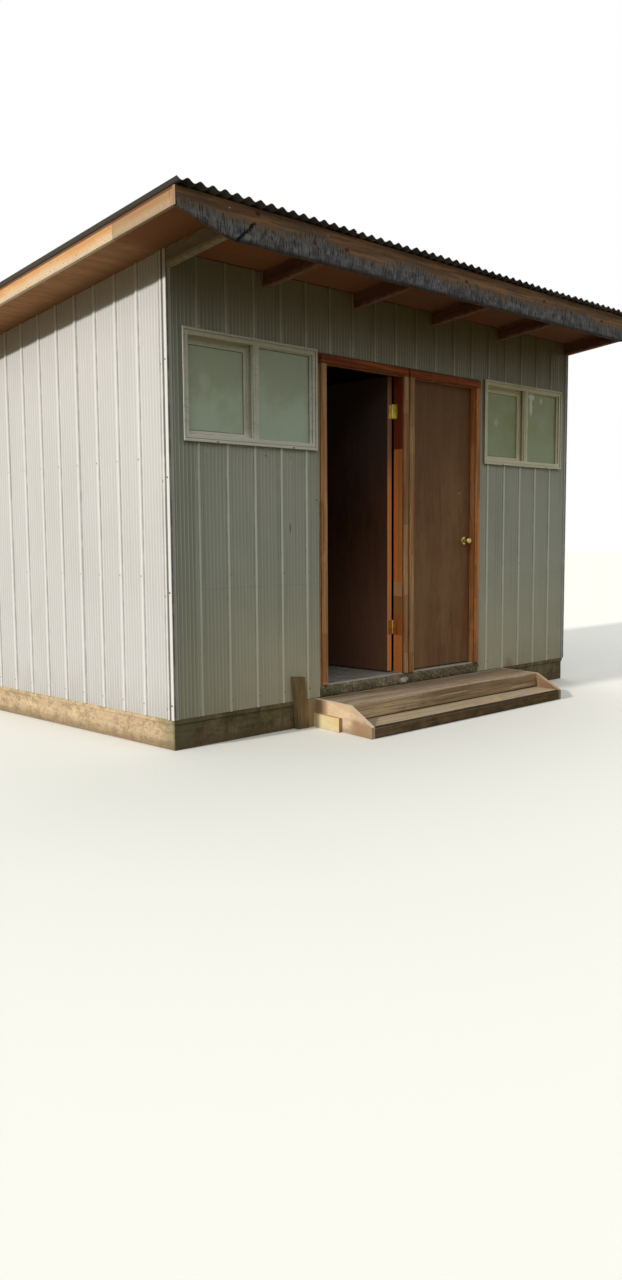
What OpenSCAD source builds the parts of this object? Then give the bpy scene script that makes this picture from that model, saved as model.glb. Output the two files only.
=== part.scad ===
// Metal-clad timber outhouse with two inward-opening doors, a mono-pitch corrugated roof
// that falls to the back, two high sliding windows and a two-tread plank step.
// X runs to the right along the front, Y to the back, Z up. The origin is the centre of
// the underside of the concrete base.

/* [Body] */
// Width of the walls over the flat of the cladding
body_w = 3960; // [3700:10:4600]
// Depth of the walls over the flat of the cladding
body_d = 2440; // [2000:10:3200]
// Wall thickness from the flat of the cladding to the inner face
wall_t = 75; // [60:1:120]

/* [Base] */
// Height of the concrete strip under the slab
footing_h = 145; // [60:5:300]
// Thickness of the floor slab
slab_t = 100; // [70:5:150]
// How far the slab stands out over the strip below it
slab_lip = 6; // [2:1:20]
// Height of the lower edge of the cladding
cladding_z = 170; // [120:5:240]

/* [Cladding] */
// Thickness of the pressed sheet
sheet_t = 1; // [0.6:0.1:1.5]
// Spacing of the pressed ribs
rib_pitch = 207; // [160:1:260]
// Distance from a front corner to the first rib on the front and back
rib_first = 200; // [60:5:220]
// Distance from a front corner to the first rib on the sides
side_rib_first = 258; // [60:5:260]
// Width of a rib at its foot
rib_foot = 24; // [14:1:40]
// Width of a rib at its crest
rib_crest = 9; // [4:1:14]
// Height of a rib
rib_h = 9; // [4:1:16]
// Number of shallow flutes between two ribs
flutes = 7; // [3:1:9]
// Width of a flute
flute_w = 9; // [5:1:12]
// Height of a flute
flute_h = 1.8; // [0.6:0.1:2.5]
// Leg of a corner flashing on the sides
flashing_side = 62; // [40:1:90]
// Leg of a corner flashing on the front and back
flashing_front = 26; // [15:1:60]

/* [Doors] */
// Distance from the left corner to the left door frame
door_frame_x = 1138; // [1120:1:1200]
// Overall width of the left door frame
left_frame_w = 842; // [760:1:900]
// Overall width of the right door frame
right_frame_w = 804; // [700:1:850]
// Overall height of the door frames
frame_h = 2032; // [1950:1:2060]
// Face width of a jamb
jamb_w = 62; // [45:1:80]
// How far the door frames stand out in front of the cladding
frame_proud = 20; // [12:1:40]
// Depth of the rebate that a leaf closes into
rebate = 12; // [8:1:20]
// Thickness of a door leaf
leaf_t = 42; // [30:1:45]
// Height of the door knobs above the floor
knob_z = 888; // [700:1:1200]
// Distance from the free edge of a leaf to its knob
knob_backset = 66; // [50:1:110]
// Radius of a door knob
knob_r = 24; // [18:1:25]
// Height of the lower hinge above the floor
hinge_low = 260; // [150:1:450]
// Distance from the top of a door frame down to the upper hinge
hinge_drop = 234; // [140:1:400]
// Length of a hinge
hinge_len = 95; // [60:1:120]
// Radius of a hinge knuckle
knuckle_r = 6; // [4:0.5:8]

/* [Windows] */
// Overall height of a window frame
window_h = 604; // [400:1:640]
// Height of the lower edge of the windows
window_z = 1688; // [1200:1:1720]
// Distance from the left corner to the left window
left_window_x = 90; // [82:1:300]
// Distance from the left window to the left door frame
left_window_gap = 26; // [10:1:200]
// Distance from the right corner to the right window
right_window_x = 98; // [82:1:300]
// Distance from the right door frame to the right window
right_window_gap = 47; // [10:1:200]
// Width of the flange round a window
flange_w = 40; // [30:1:50]
// Width of the raised rim round that flange
window_rim_w = 17; // [8:1:24]
// Height of that rim over the flange
window_rim_h = 4; // [2:0.5:5]
// Width of the bead that holds the fixed pane
bead_w = 16; // [12:1:24]
// Wall of the aluminium profile
profile_t = 10; // [6:1:12]
// Width of the fixed stile in the middle of a window
mullion_w = 46; // [30:1:60]
// Width of the stiles and rails of the sliding sash
sash_w = 42; // [30:1:60]
// Thickness of a pane
glass_t = 5; // [4:1:6]

/* [Roof] */
// Slope of the roof in degrees, falling to the back
roof_pitch = 6.3; // [3:0.1:9]
// Height of the rafters' underside at the front of the cladding
eave_z = 2587; // [2560:1:2800]
// Distance between the left faces of the first two rafters
rafter_first = 690; // [450:5:900]
// Spacing of the other rafters. The last one stands at the right corner
rafter_pitch = 772; // [500:1:900]
// Width of a rafter
rafter_w = 44; // [35:1:60]
// Depth of a rafter
rafter_h = 90; // [70:1:120]
// Thickness of the plywood deck
deck_t = 15; // [9:1:20]
// Depth of the purlins between the deck and the roof sheets
purlin_h = 64; // [40:1:90]
// Width of a purlin
purlin_w = 42; // [30:1:60]
// Number of purlins
purlins_n = 5; // [3:1:7]
// Reach of the roof in front of the cladding
front_reach = 500; // [300:10:600]
// Reach of the roof behind the cladding
back_reach = 280; // [150:10:500]
// Reach of the roof beside the cladding
side_reach = 310; // [200:10:400]
// Thickness of the fascia boards
fascia_t = 22; // [18:1:35]
// Depth of the side fascia boards
side_fascia_h = 90; // [84:1:120]
// Distance of the joint in a side fascia behind the front of the cladding
fascia_joint = 22; // [-300:1:2000]
// Depth of the front and back fascia boards
front_fascia_h = 186; // [178:1:220]
// Length of the slanting cut at each end of the front fascia
fascia_cut = 350; // [200:5:420]
// Spacing of the waves in the roof sheets
wave_pitch = 76.2; // [60:0.1:110]
// Height of the waves
wave_h = 17; // [10:1:25]
// Thickness of the roof sheets
roof_t = 1; // [0.8:0.1:1.5]
// How far the roof sheets pass the front and back fascias
sheet_past_eave = 45; // [20:1:80]
// How far the roof sheets pass the side fascias
sheet_past_side = 24; // [10:1:60]

/* [Steps] */
// Distance from the left corner to the front left end of the steps
step_x = 983; // [700:1:1100]
// Length of the steps along the front
step_len = 2030; // [1600:5:2300]
// How far the back of the steps is set to the right of their front
step_skew = 100; // [0:5:160]
// Depth of the upper tread
upper_going = 356; // [250:1:450]
// Depth of the lower tread
lower_going = 215; // [150:1:350]
// Height of the upper tread
upper_z = 166; // [120:1:168]
// Height of the lower tread
lower_z = 67; // [50:1:100]
// Thickness of the treads
tread_t = 34; // [25:1:45]
// Thickness of the cheeks and of the board in front of each tread
cheek_t = 28; // [20:1:40]
// Height of the plank outside the left cheek
side_board_h = 84; // [60:1:110]
// Width of the short board between the left cheek and the stake
short_board_w = 75; // [40:1:120]
// Thickness of that board
short_board_t = 30; // [20:1:45]
// Height of the stake beside the steps
stake_h = 325; // [200:5:450]
// Width of the stake
stake_w = 88; // [60:1:110]
// Thickness of the stake
stake_t = 36; // [20:1:50]
// How far the top of the stake leans to the left
stake_lean = 34; // [0:1:60]

/* [Hidden] */
// Gap left between a piece and what it is seated against
seat = 0.3;
// Gap round what passes through the cladding
cut_gap = 2;
// Running gap round a door leaf at the hinge side, the head and the stop
door_gap = 5;
// Running gap at the free edge of a door leaf, which swings out as it turns
free_gap = 8;
// Gap under a door leaf
sill_gap = 8;
// Distance of the hinge axis behind the inner face of a door frame
hinge_back = 8;
// Thickness of a hinge flap and of the slip between two closed flaps
flap_t = 2;
// Width of a hinge flap on its leaf
flap_w = 32;
$fn = 32;

floor_z = footing_h + slab_t;
tan_p = tan(roof_pitch);
cos_p = cos(roof_pitch);
deck_n = rafter_h + deck_t;
sheet_n = deck_n + purlin_h;
core_y = sheet_t + seat;
core_t = wall_t - core_y;
right_frame_x = door_frame_x + left_frame_w;
doors_end = right_frame_x + right_frame_w;
left_window_w = door_frame_x - left_window_gap - left_window_x;
right_window_left = doors_end + right_window_gap;
right_window_w = body_w - right_window_x - right_window_left;
flute_gap = (rib_pitch - rib_foot) / flutes;
last_rafter_x = body_w - core_y - rafter_w;
// Rafters that keep the spacing, with at least half of it left before the last one
spaced_rafters = floor((last_rafter_x - core_y - rafter_first) / rafter_pitch - 0.5);
rafter_xs = [
  core_y,
  for (k = [0:spaced_rafters]) core_y + rafter_first + k * rafter_pitch,
  last_rafter_x
];
roof_back = body_d + back_reach;
tread_back = core_y - seat;
step_front = -upper_going - lower_going;

// Height of the rafters' underside at a distance y behind the front of the cladding
function roof_under(y) = eave_z - y * tan_p;

// Height of the top of a wall, which carries the rafters
function wall_top(y) = roof_under(y) - seat;

// Height of the top of the cladding, which stops under the deck
function cladding_top(y) = roof_under(y) + rafter_h / cos_p - seat;

// Everything is set out from the front left corner of the walls
module set_out() {
  translate([-body_w / 2, -body_d / 2, 0]) children();
}

// A box from its low corner to its high corner
module block(low, high) {
  translate(low) cube(high - low);
}

// Carries a side view drawn in Y and Z along X
module along_x(x, w) {
  translate([x, 0, 0]) rotate([90, 0, 90]) linear_extrude(w) children();
}

// Carries a front view drawn in X and Z back along Y
module along_y(y, d) {
  translate([0, y + d, 0]) rotate([90, 0, 0]) linear_extrude(d) children();
}

// Side view of a roof member between two distances above the rafters' underside
module roof_strip(y0, y1, n0, n1) {
  polygon([
    [y0, roof_under(y0) + n0 / cos_p], [y1, roof_under(y1) + n0 / cos_p],
    [y1, roof_under(y1) + n1 / cos_p], [y0, roof_under(y0) + n1 / cos_p]
  ]);
}

// Concrete base

module footing() {
  color([0.50, 0.46, 0.40]) set_out()
    block([core_y + slab_lip, core_y + slab_lip, 0],
          [body_w - core_y - slab_lip, body_d - core_y - slab_lip, footing_h]);
}

module floor_slab() {
  color([0.55, 0.53, 0.50]) set_out()
    block([core_y, core_y, footing_h], [body_w - core_y, body_d - core_y, floor_z]);
}

// Walls: stud frames closed with lining. The side walls run the full depth

module wall_color() {
  color([0.62, 0.50, 0.36]) set_out() children();
}

// Side view of a side wall from the slab to the rafters
module side_outline() {
  polygon([
    [core_y, floor_z], [body_d - core_y, floor_z],
    [body_d - core_y, wall_top(body_d - core_y)], [core_y, wall_top(core_y)]
  ]);
}

module left_wall() {
  wall_color() along_x(core_y, core_t) side_outline();
}

module right_wall() {
  wall_color() along_x(body_w - wall_t, core_t) side_outline();
}

// A stretch of the front wall between two distances from the left corner
module front_stretch(x0, x1, z0) {
  along_x(x0, x1 - x0)
    polygon([
      [core_y, z0], [wall_t, z0], [wall_t, wall_top(wall_t)], [core_y, wall_top(core_y)]
    ]);
}

// Room in the wall for a window's box
module window_hole(x, w) {
  block([x + flange_w / 2 - seat, -wall_t, window_z + flange_w / 2 - seat],
        [x + w - flange_w / 2 + seat, 2 * wall_t, window_z + window_h - flange_w / 2 + seat]);
}

module front_wall_left() {
  wall_color() difference() {
    front_stretch(wall_t, door_frame_x, floor_z);
    window_hole(left_window_x, left_window_w);
  }
}

module front_wall_right() {
  wall_color() difference() {
    front_stretch(doors_end, body_w - wall_t, floor_z);
    window_hole(right_window_left, right_window_w);
  }
}

module front_wall_over_doors() {
  wall_color() front_stretch(door_frame_x, doors_end, floor_z + frame_h);
}

module back_wall() {
  wall_color() along_x(wall_t, body_w - 2 * wall_t)
    polygon([
      [body_d - wall_t, floor_z], [body_d - core_y, floor_z],
      [body_d - core_y, wall_top(body_d - core_y)], [body_d - wall_t, wall_top(body_d - wall_t)]
    ]);
}

// Pressed cladding: trapezoid ribs with shallow flutes between them

// Plan points of one rib centred at x
function rib_at(x) = [
  [x - rib_foot / 2, 0], [x - rib_crest / 2, -rib_h], [x + rib_crest / 2, -rib_h], [x + rib_foot / 2, 0]
];

// Whether a rib centred at x stays clear of the flashings at both ends of a sheet
function rib_fits(x, len, leg) = min(x, len - x) > leg + 3 * sheet_t + rib_foot / 2;

// Plan points of the flutes in the bay that ends at the rib centred at x
function flutes_before(x) = [
  for (k = [0:flutes - 1], s = [-1, 0, 1])
    [x - rib_pitch + rib_foot / 2 + (k + 0.5) * flute_gap + s * flute_w / 2, s == 0 ? -flute_h : 0]
];

// Outer face of a sheet of a given length whose first rib is at a given place. It starts
// and ends past the sheet, which is then cut to its length
function sheet_face(len, first, leg) = concat(
  [[first - 2 * rib_pitch, 0]],
  [
    for (k = [-1:ceil((len - first) / rib_pitch)])
      let (x = first + k * rib_pitch)
        each concat(flutes_before(x), rib_fits(x, len, leg) ? rib_at(x) : [])
  ]
);

// Pressed sheet of a given length between flashings with a given leg, its outer face
// towards -Y and its lower edge at cladding_z
module pressed_sheet(len, first, leg, height) {
  face = sheet_face(len, first, leg);
  back = [for (i = [len(face) - 1:-1:0]) face[i] + [0, sheet_t]];
  translate([0, 0, cladding_z]) linear_extrude(height - cladding_z)
    intersection() {
      polygon(concat(face, back));
      translate([0, -rib_h - 1]) square([len, rib_h + 2 + sheet_t]);
    }
}

module clad_color() {
  color([0.80, 0.81, 0.76]) set_out() children();
}

module rafter_notches() {
  for (x = rafter_xs)
    block([x - cut_gap, -wall_t, roof_under(core_y) - cut_gap],
          [x + rafter_w + cut_gap, wall_t, cladding_top(0) + 1]);
}

module front_cladding() {
  clad_color() difference() {
    pressed_sheet(body_w, rib_first, flashing_front, cladding_top(core_y));
    block([door_frame_x - cut_gap, -wall_t, 0], [doors_end + cut_gap, wall_t, floor_z + frame_h + cut_gap]);
    window_hole(left_window_x, left_window_w);
    window_hole(right_window_left, right_window_w);
    rafter_notches();
  }
}

// Side cladding drawn along the front and turned onto a side, then cut to the roof's slope
module side_cladding_blank() {
  whole_bays = floor((body_d - side_rib_first) / rib_pitch);
  first = body_d - side_rib_first - whole_bays * rib_pitch;
  intersection() {
    translate([0, body_d, 0]) rotate([0, 0, -90])
      pressed_sheet(body_d, first, flashing_side, roof_under(0) + 2 * rafter_h);
    along_x(-rib_h - 1, rib_h + 2 + sheet_t)
      polygon([
        [sheet_t, cladding_z], [body_d - sheet_t, cladding_z],
        [body_d - sheet_t, cladding_top(body_d - sheet_t)], [sheet_t, cladding_top(sheet_t)]
      ]);
  }
}

module left_cladding() {
  clad_color() side_cladding_blank();
}

module right_cladding() {
  clad_color() translate([body_w, 0, 0]) mirror([1, 0, 0]) side_cladding_blank();
}

module back_cladding() {
  clad_color() translate([body_w, body_d, 0]) rotate([0, 0, 180])
    difference() {
      pressed_sheet(body_w, rib_first, flashing_front, cladding_top(body_d + rib_h));
      for (x = rafter_xs)
        block([body_w - x - rafter_w - cut_gap, -wall_t, roof_under(body_d) - cut_gap],
              [body_w - x + cut_gap, wall_t, roof_under(0) + rafter_h]);
    }
}

// Plan of one folded corner flashing that laps over the corner at the origin
module flashing_plan() {
  out = flute_h + seat;
  polygon([
    [-out - sheet_t, -out - sheet_t], [flashing_front, -out - sheet_t], [flashing_front, -out],
    [-out, -out], [-out, flashing_side], [-out - sheet_t, flashing_side]
  ]);
  translate([-out - 2.5 * sheet_t, flashing_side]) circle(2.5 * sheet_t);
  translate([-out - 2 * sheet_t, flashing_side / 2]) circle(2 * sheet_t);
}

module corner_flashing(z1) {
  translate([0, 0, cladding_z]) linear_extrude(z1 - cladding_z) flashing_plan();
}

// The front pair is notched round the end rafters and the back pair stops under them
module corner_flashings() {
  front_z = cladding_top(flashing_side + 3 * sheet_t);
  back_z = roof_under(body_d) - cut_gap;
  color([0.86, 0.87, 0.84]) set_out() for (m = [0, 1]) {
    difference() {
      translate([m * body_w, 0, 0]) mirror([m, 0, 0]) corner_flashing(front_z);
      rafter_notches();
    }
    translate([m * body_w, body_d, 0]) mirror([m, 0, 0]) mirror([0, 1, 0]) corner_flashing(back_z);
  }
}

// Roof timbers

module timber_color() {
  color([0.60, 0.40, 0.24]) set_out() children();
}

module rafters() {
  timber_color() for (x = rafter_xs)
    along_x(x, rafter_w)
      roof_strip(-front_reach + fascia_t, roof_back - fascia_t, 0, rafter_h);
}

module eave_blocking() {
  timber_color() for (k = [0:len(rafter_xs) - 2], y = [core_y, body_d - wall_t])
    along_x(rafter_xs[k] + rafter_w, rafter_xs[k + 1] - rafter_xs[k] - rafter_w)
      roof_strip(y, y + core_t, 0, rafter_h);
}

module roof_deck() {
  color([0.50, 0.30, 0.17]) set_out()
    along_x(-side_reach + fascia_t, body_w + 2 * side_reach - 2 * fascia_t)
      roof_strip(-front_reach + fascia_t, roof_back - fascia_t, rafter_h + seat, deck_n);
}

module purlins() {
  first = -front_reach + fascia_t;
  last = roof_back - fascia_t - purlin_w;
  timber_color() for (k = [0:purlins_n - 1])
    along_x(-side_reach + fascia_t, body_w + 2 * side_reach - 2 * fascia_t)
      roof_strip(first + k * (last - first) / (purlins_n - 1),
                 first + k * (last - first) / (purlins_n - 1) + purlin_w, deck_n + seat, sheet_n);
}

// Middle line of the corrugation: each half wave is a run of points on a sine
function wave(x) = wave_h / 2 * (1 - cos(360 * x / wave_pitch));

module roof_sheets() {
  half = body_w / 2 + side_reach + sheet_past_side;
  steps = 8;
  count = ceil(2 * half / wave_pitch * steps);
  line = [for (i = [0:count]) let (x = -half + i * 2 * half / count) [x, wave(x)]];
  under = [for (i = [count:-1:0]) line[i]];
  over = [for (i = [0:count]) line[i] + [0, roof_t]];
  length = (roof_back + front_reach + 2 * sheet_past_eave) / cos_p;
  y1 = roof_back + sheet_past_eave;
  color([0.20, 0.21, 0.23]) set_out()
    translate([body_w / 2, y1, roof_under(y1) + (sheet_n + seat) / cos_p])
      rotate([90 - roof_pitch, 0, 0]) linear_extrude(length) polygon(concat(over, under));
}

// Fascia boards

module fascia_color() {
  color([0.74, 0.52, 0.32]) set_out() children();
}

module front_fascia() {
  top = roof_under(-front_reach + fascia_t) + sheet_n / cos_p;
  fascia_color() along_y(-front_reach, fascia_t)
    polygon([
      [-side_reach, top], [-side_reach, top - side_fascia_h],
      [-side_reach + fascia_cut, top - front_fascia_h],
      [body_w + side_reach - fascia_cut, top - front_fascia_h],
      [body_w + side_reach, top - side_fascia_h], [body_w + side_reach, top]
    ]);
}

module back_fascia() {
  top = roof_under(roof_back) + sheet_n / cos_p;
  fascia_color() along_y(roof_back - fascia_t, fascia_t)
    polygon([
      [-side_reach, top], [-side_reach, top - front_fascia_h],
      [body_w + side_reach, top - front_fascia_h], [body_w + side_reach, top]
    ]);
}

// Two lengths butted end to end
module side_fascia(x) {
  fascia_color() along_x(x, fascia_t) {
    roof_strip(-front_reach + fascia_t, fascia_joint, sheet_n - side_fascia_h, sheet_n);
    roof_strip(fascia_joint + seat, roof_back - fascia_t, sheet_n - side_fascia_h, sheet_n);
  }
}

module left_fascia() {
  side_fascia(-side_reach);
}

module right_fascia() {
  side_fascia(body_w + side_reach - fascia_t);
}

// Door frames: three-sided, rebated on the room side for the leaf

module door_frame(x, w) {
  low = [x, -frame_proud, floor_z];
  stop_y = wall_t - leaf_t - door_gap;
  color([0.72, 0.42, 0.20]) set_out() difference() {
    block(low, [x + w, wall_t, floor_z + frame_h]);
    block([x + jamb_w, -frame_proud - 1, floor_z - 1],
          [x + w - jamb_w, wall_t + 1, floor_z + frame_h - jamb_w]);
    block([x + jamb_w - rebate, stop_y, floor_z - 1],
          [x + w - jamb_w + rebate, wall_t + 1, floor_z + frame_h - jamb_w + rebate]);
  }
}

module left_door_frame() {
  door_frame(door_frame_x, left_frame_w);
}

module right_door_frame() {
  door_frame(right_frame_x, right_frame_w);
}

// A leaf is drawn closed in its own frame: the hinge axis is Z at the origin, the leaf
// runs to +X and its room side is towards +Y
function leaf_len(w) = w - 2 * jamb_w + 2 * rebate - door_gap - free_gap;
leaf_z0 = floor_z + sill_gap;
leaf_z1 = floor_z + frame_h - jamb_w + rebate - door_gap;

module leaf_shape(w) {
  block([door_gap / 2, -hinge_back - leaf_t, leaf_z0], [door_gap / 2 + leaf_len(w), -hinge_back, leaf_z1]);
}

// One knuckle of a hinge between two heights
module knuckle(z0, z1) {
  translate([0, 0, z0]) cylinder(r = knuckle_r, h = z1 - z0);
}

// Flap and middle knuckle that turn with the leaf
module leaf_flap(z) {
  third = hinge_len / 3;
  knuckle(z + third + seat, z + 2 * third - seat);
  block([door_gap / 2 - flap_t, -hinge_back - flap_w, z], [door_gap / 2, -knuckle_r - 0.5, z + hinge_len]);
  block([door_gap / 2 - flap_t, -hinge_back, z + third + seat], [door_gap / 2, 0, z + 2 * third - seat]);
}

// Flap and outer knuckles that stay on the jamb
module jamb_flap(z) {
  third = hinge_len / 3;
  for (k = [0, 2]) {
    knuckle(z + k * third, z + (k + 1) * third);
    block([-door_gap / 2, -hinge_back, z + k * third], [-door_gap / 2 + flap_t, 0, z + (k + 1) * third]);
  }
  block([-door_gap / 2, -hinge_back - flap_w, z], [-door_gap / 2 + flap_t, -knuckle_r - 0.5, z + hinge_len]);
}

// Round knobs on both faces of a leaf
module knob_pair(w) {
  rose_r = knob_r + 6;
  neck = 18;
  for (side = [0, 1])
    translate([door_gap / 2 + leaf_len(w) - knob_backset,
               side ? -hinge_back : -hinge_back - leaf_t, floor_z + knob_z])
      rotate([side ? -90 : 90, 0, 0]) {
        rotate_extrude()
          polygon([[0, 0], [rose_r, 0], [rose_r - 2, 5], [knob_r / 2, 8], [knob_r / 2 - 2, neck], [0, neck]]);
        translate([0, 0, neck - 2 + knob_r * 0.8]) intersection() {
          sphere(r = knob_r);
          translate([0, 0, -knob_r * 0.8]) cylinder(r = knob_r, h = knob_r * 1.55);
        }
      }
}

// Heights of the hinges
hinge_zs = [floor_z + hinge_low, floor_z + frame_h - hinge_drop - hinge_len];

// Sets a closed leaf on its jamb. The left leaf hangs on its right jamb, drawn mirrored
hinge_y = wall_t + hinge_back;
left_hinge_x = right_frame_x - jamb_w + rebate - door_gap / 2;
right_hinge_x = right_frame_x + jamb_w - rebate + door_gap / 2;

module at_left_hinge(angle) {
  set_out() translate([left_hinge_x, hinge_y, 0]) rotate([0, 0, -angle]) mirror([1, 0, 0]) children();
}

module at_right_hinge() {
  set_out() translate([right_hinge_x, hinge_y, 0]) children();
}

// The left door stands open at a right angle to the wall
left_open = 90;

module left_door_leaf() {
  color([0.36, 0.22, 0.15]) at_left_hinge(left_open) leaf_shape(left_frame_w);
}

module right_door_leaf() {
  color([0.42, 0.28, 0.20]) at_right_hinge() leaf_shape(right_frame_w);
}

module left_door_hinges() {
  color([0.80, 0.62, 0.22]) at_left_hinge(0) for (z = hinge_zs) jamb_flap(z);
}

module right_door_hinges() {
  color([0.80, 0.62, 0.22]) at_right_hinge() for (z = hinge_zs) jamb_flap(z);
}

module left_door_hinge_flaps() {
  color([0.80, 0.62, 0.22]) at_left_hinge(left_open) for (z = hinge_zs) leaf_flap(z);
}

module right_door_hinge_flaps() {
  color([0.80, 0.62, 0.22]) at_right_hinge() for (z = hinge_zs) leaf_flap(z);
}

module left_door_knobs() {
  color([0.80, 0.62, 0.22]) at_left_hinge(left_open) knob_pair(left_frame_w);
}

module right_door_knobs() {
  color([0.80, 0.62, 0.22]) at_right_hinge() knob_pair(right_frame_w);
}

// Windows: a flanged aluminium frame of width w with a fixed pane on the right and a
// sliding sash behind it on the left. Drawn from the low left corner of the flange

inner = flange_w / 2 + profile_t;
glass_y = 6;
sash_y = 22;
sash_d = 22;
function mullion_x(w) = (w - mullion_w) / 2 + 20;

module window_at(x) {
  set_out() translate([x, 0, window_z]) children();
}

// A rectangular ring between two offsets from the flange's edge
module ring(w, a, b, y0, y1) {
  difference() {
    block([a, y0, a], [w - a, y1, window_h - a]);
    block([b, y0 - 1, b], [w - b, y1 + 1, window_h - b]);
  }
}

// The bead round the fixed pane, from the mullion to the inside of the frame
module pane_bead(w) {
  difference() {
    block([mullion_x(w) + mullion_w - 1, -rib_h + seat, inner - 1],
          [w - inner + 1, glass_y - seat, window_h - inner + 1]);
    block([mullion_x(w) + mullion_w + bead_w / 2, -rib_h - 1, inner + bead_w],
          [w - inner - bead_w, glass_y + 1, window_h - inner - bead_w]);
  }
}

module window_frame(w) {
  color([0.80, 0.79, 0.70]) union() {
    ring(w, 0, window_rim_w, -frame_proud, -rib_h - seat);
    ring(w, window_rim_w - 1, flange_w, -frame_proud + window_rim_h, -rib_h - seat);
    ring(w, flange_w / 2, inner, -rib_h - seat - 1, wall_t);
    block([mullion_x(w), -frame_proud + window_rim_h + 2, flange_w / 2 + 1],
          [mullion_x(w) + mullion_w, glass_y - seat, window_h - flange_w / 2 - 1]);
    pane_bead(w);
  }
}

// Sides and ends of the opening in a sash, as low and high corners in X and Z
function sash_low() = [inner + seat + sash_w / 2, inner + seat + sash_w * 0.8];
function sash_high(w) = [mullion_x(w) - sash_w, window_h - inner - seat - sash_w * 1.2];

module window_sash(w) {
  color([0.78, 0.77, 0.68]) difference() {
    block([inner + seat, sash_y, inner + seat],
          [mullion_x(w) + mullion_w / 2, sash_y + sash_d, window_h - inner - seat]);
    block([sash_low().x, sash_y - 1, sash_low().y],
          [sash_high(w).x, sash_y + sash_d + 1, sash_high(w).y]);
  }
}

module window_glass(w) {
  pane_y = sash_y + 8;
  color([0.62, 0.70, 0.60, 0.8]) {
    block([mullion_x(w), glass_y, inner + seat],
          [w - inner - seat, glass_y + glass_t, window_h - inner - seat]);
    block([sash_low().x + seat, pane_y, sash_low().y + seat],
          [sash_high(w).x - seat, pane_y + glass_t, sash_high(w).y - seat]);
  }
}

module left_window_frame() {
  window_at(left_window_x) window_frame(left_window_w);
}

module left_window_sash() {
  window_at(left_window_x) window_sash(left_window_w);
}

module left_window_glass() {
  window_at(left_window_x) window_glass(left_window_w);
}

module right_window_frame() {
  window_at(right_window_left) window_frame(right_window_w);
}

module right_window_sash() {
  window_at(right_window_left) window_sash(right_window_w);
}

module right_window_glass() {
  window_at(right_window_left) window_glass(right_window_w);
}

// Plank steps. Their ends run back on a skew, so each piece is a skewed plan carried up

module plank_color() {
  color([0.48, 0.40, 0.31]) set_out() children();
}

// Sideways shift of the skewed ends at a distance y in front of the wall
function skew(y) = step_skew * (y - step_front) / (tread_back - step_front);

// Plan between two distances along the steps and two distances from the wall
module skew_plan(x0, x1, y0, y1) {
  polygon([
    [step_x + x0 + skew(y0), y0], [step_x + x1 + skew(y0), y0],
    [step_x + x1 + skew(y1), y1], [step_x + x0 + skew(y1), y1]
  ]);
}

// Plan of what lies between the cheeks, between two distances from the wall
module between_cheeks(y0, y1) {
  skew_plan(cheek_t + seat, step_len - cheek_t - seat, y0, y1);
}

module upper_tread() {
  plank_color() translate([0, 0, upper_z - tread_t]) linear_extrude(tread_t)
    between_cheeks(-upper_going + cheek_t + seat, tread_back - seat);
}

module lower_tread() {
  plank_color() translate([0, 0, lower_z - tread_t]) linear_extrude(tread_t)
    between_cheeks(step_front + cheek_t + seat, -upper_going + cheek_t);
}

// A board on edge in front of each tread, flush with its top. The upper one stands on the
// lower tread
module step_risers() {
  plank_color() {
    linear_extrude(lower_z) between_cheeks(step_front, step_front + cheek_t);
    translate([0, 0, lower_z]) linear_extrude(upper_z - lower_z)
      between_cheeks(-upper_going, -upper_going + cheek_t);
  }
}

// Side view of a cheek: level beside the upper tread, sloping down to the lower one
module cheek_side() {
  polygon([
    [step_front, 0], [tread_back - seat, 0], [tread_back - seat, upper_z],
    [-upper_going, upper_z], [step_front, lower_z]
  ]);
}

module cheek(x) {
  plank_color() intersection() {
    along_x(0, body_w) cheek_side();
    linear_extrude(upper_z + 1) skew_plan(x, x + cheek_t, step_front - 1, tread_back + 1);
  }
}

module left_cheek() {
  cheek(0);
}

module right_cheek() {
  cheek(step_len - cheek_t);
}

// Two boards outside the left cheek: a low plank on edge along it and a short board that
// closes the way between its back end and the stake
module side_boards() {
  y0 = -upper_going + lower_z;
  y1 = -short_board_t - seat;
  color([0.72, 0.62, 0.44]) set_out() {
    linear_extrude(side_board_h) skew_plan(-seat - cheek_t, -seat, y0, y1);
    linear_extrude(upper_z) skew_plan(-short_board_w, -seat, y1 + seat, tread_back - seat);
  }
}

// Short stake that leans beside the steps with its back against the wall
module stake() {
  x = step_x + skew(-short_board_t) - short_board_w - seat - stake_w;
  color([0.40, 0.31, 0.23]) set_out() along_y(-flute_h - seat - stake_t, stake_t)
    polygon([[x, 0], [x + stake_w, 0], [x + stake_w - stake_lean, stake_h - 8], [x - stake_lean, stake_h]]);
}

footing();
floor_slab();
front_wall_left();
front_wall_right();
front_wall_over_doors();
left_wall();
right_wall();
back_wall();
front_cladding();
left_cladding();
right_cladding();
back_cladding();
corner_flashings();
rafters();
eave_blocking();
roof_deck();
purlins();
roof_sheets();
front_fascia();
back_fascia();
left_fascia();
right_fascia();
left_door_frame();
right_door_frame();
left_door_leaf();
right_door_leaf();
left_door_hinges();
right_door_hinges();
left_door_hinge_flaps();
right_door_hinge_flaps();
left_door_knobs();
right_door_knobs();
left_window_frame();
left_window_sash();
left_window_glass();
right_window_frame();
right_window_sash();
right_window_glass();
upper_tread();
lower_tread();
step_risers();
left_cheek();
right_cheek();
side_boards();
stake();
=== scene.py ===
"""A timber outhouse clad in pressed sheet metal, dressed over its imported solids.

X runs to the right along the front, Y to the back, Z up, in metres, from the centre of the
underside of the concrete base. The sections follow the building as it is put together.
"""

import math

import bpy
import numpy as np
from mathutils import Matrix, Vector


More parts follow.
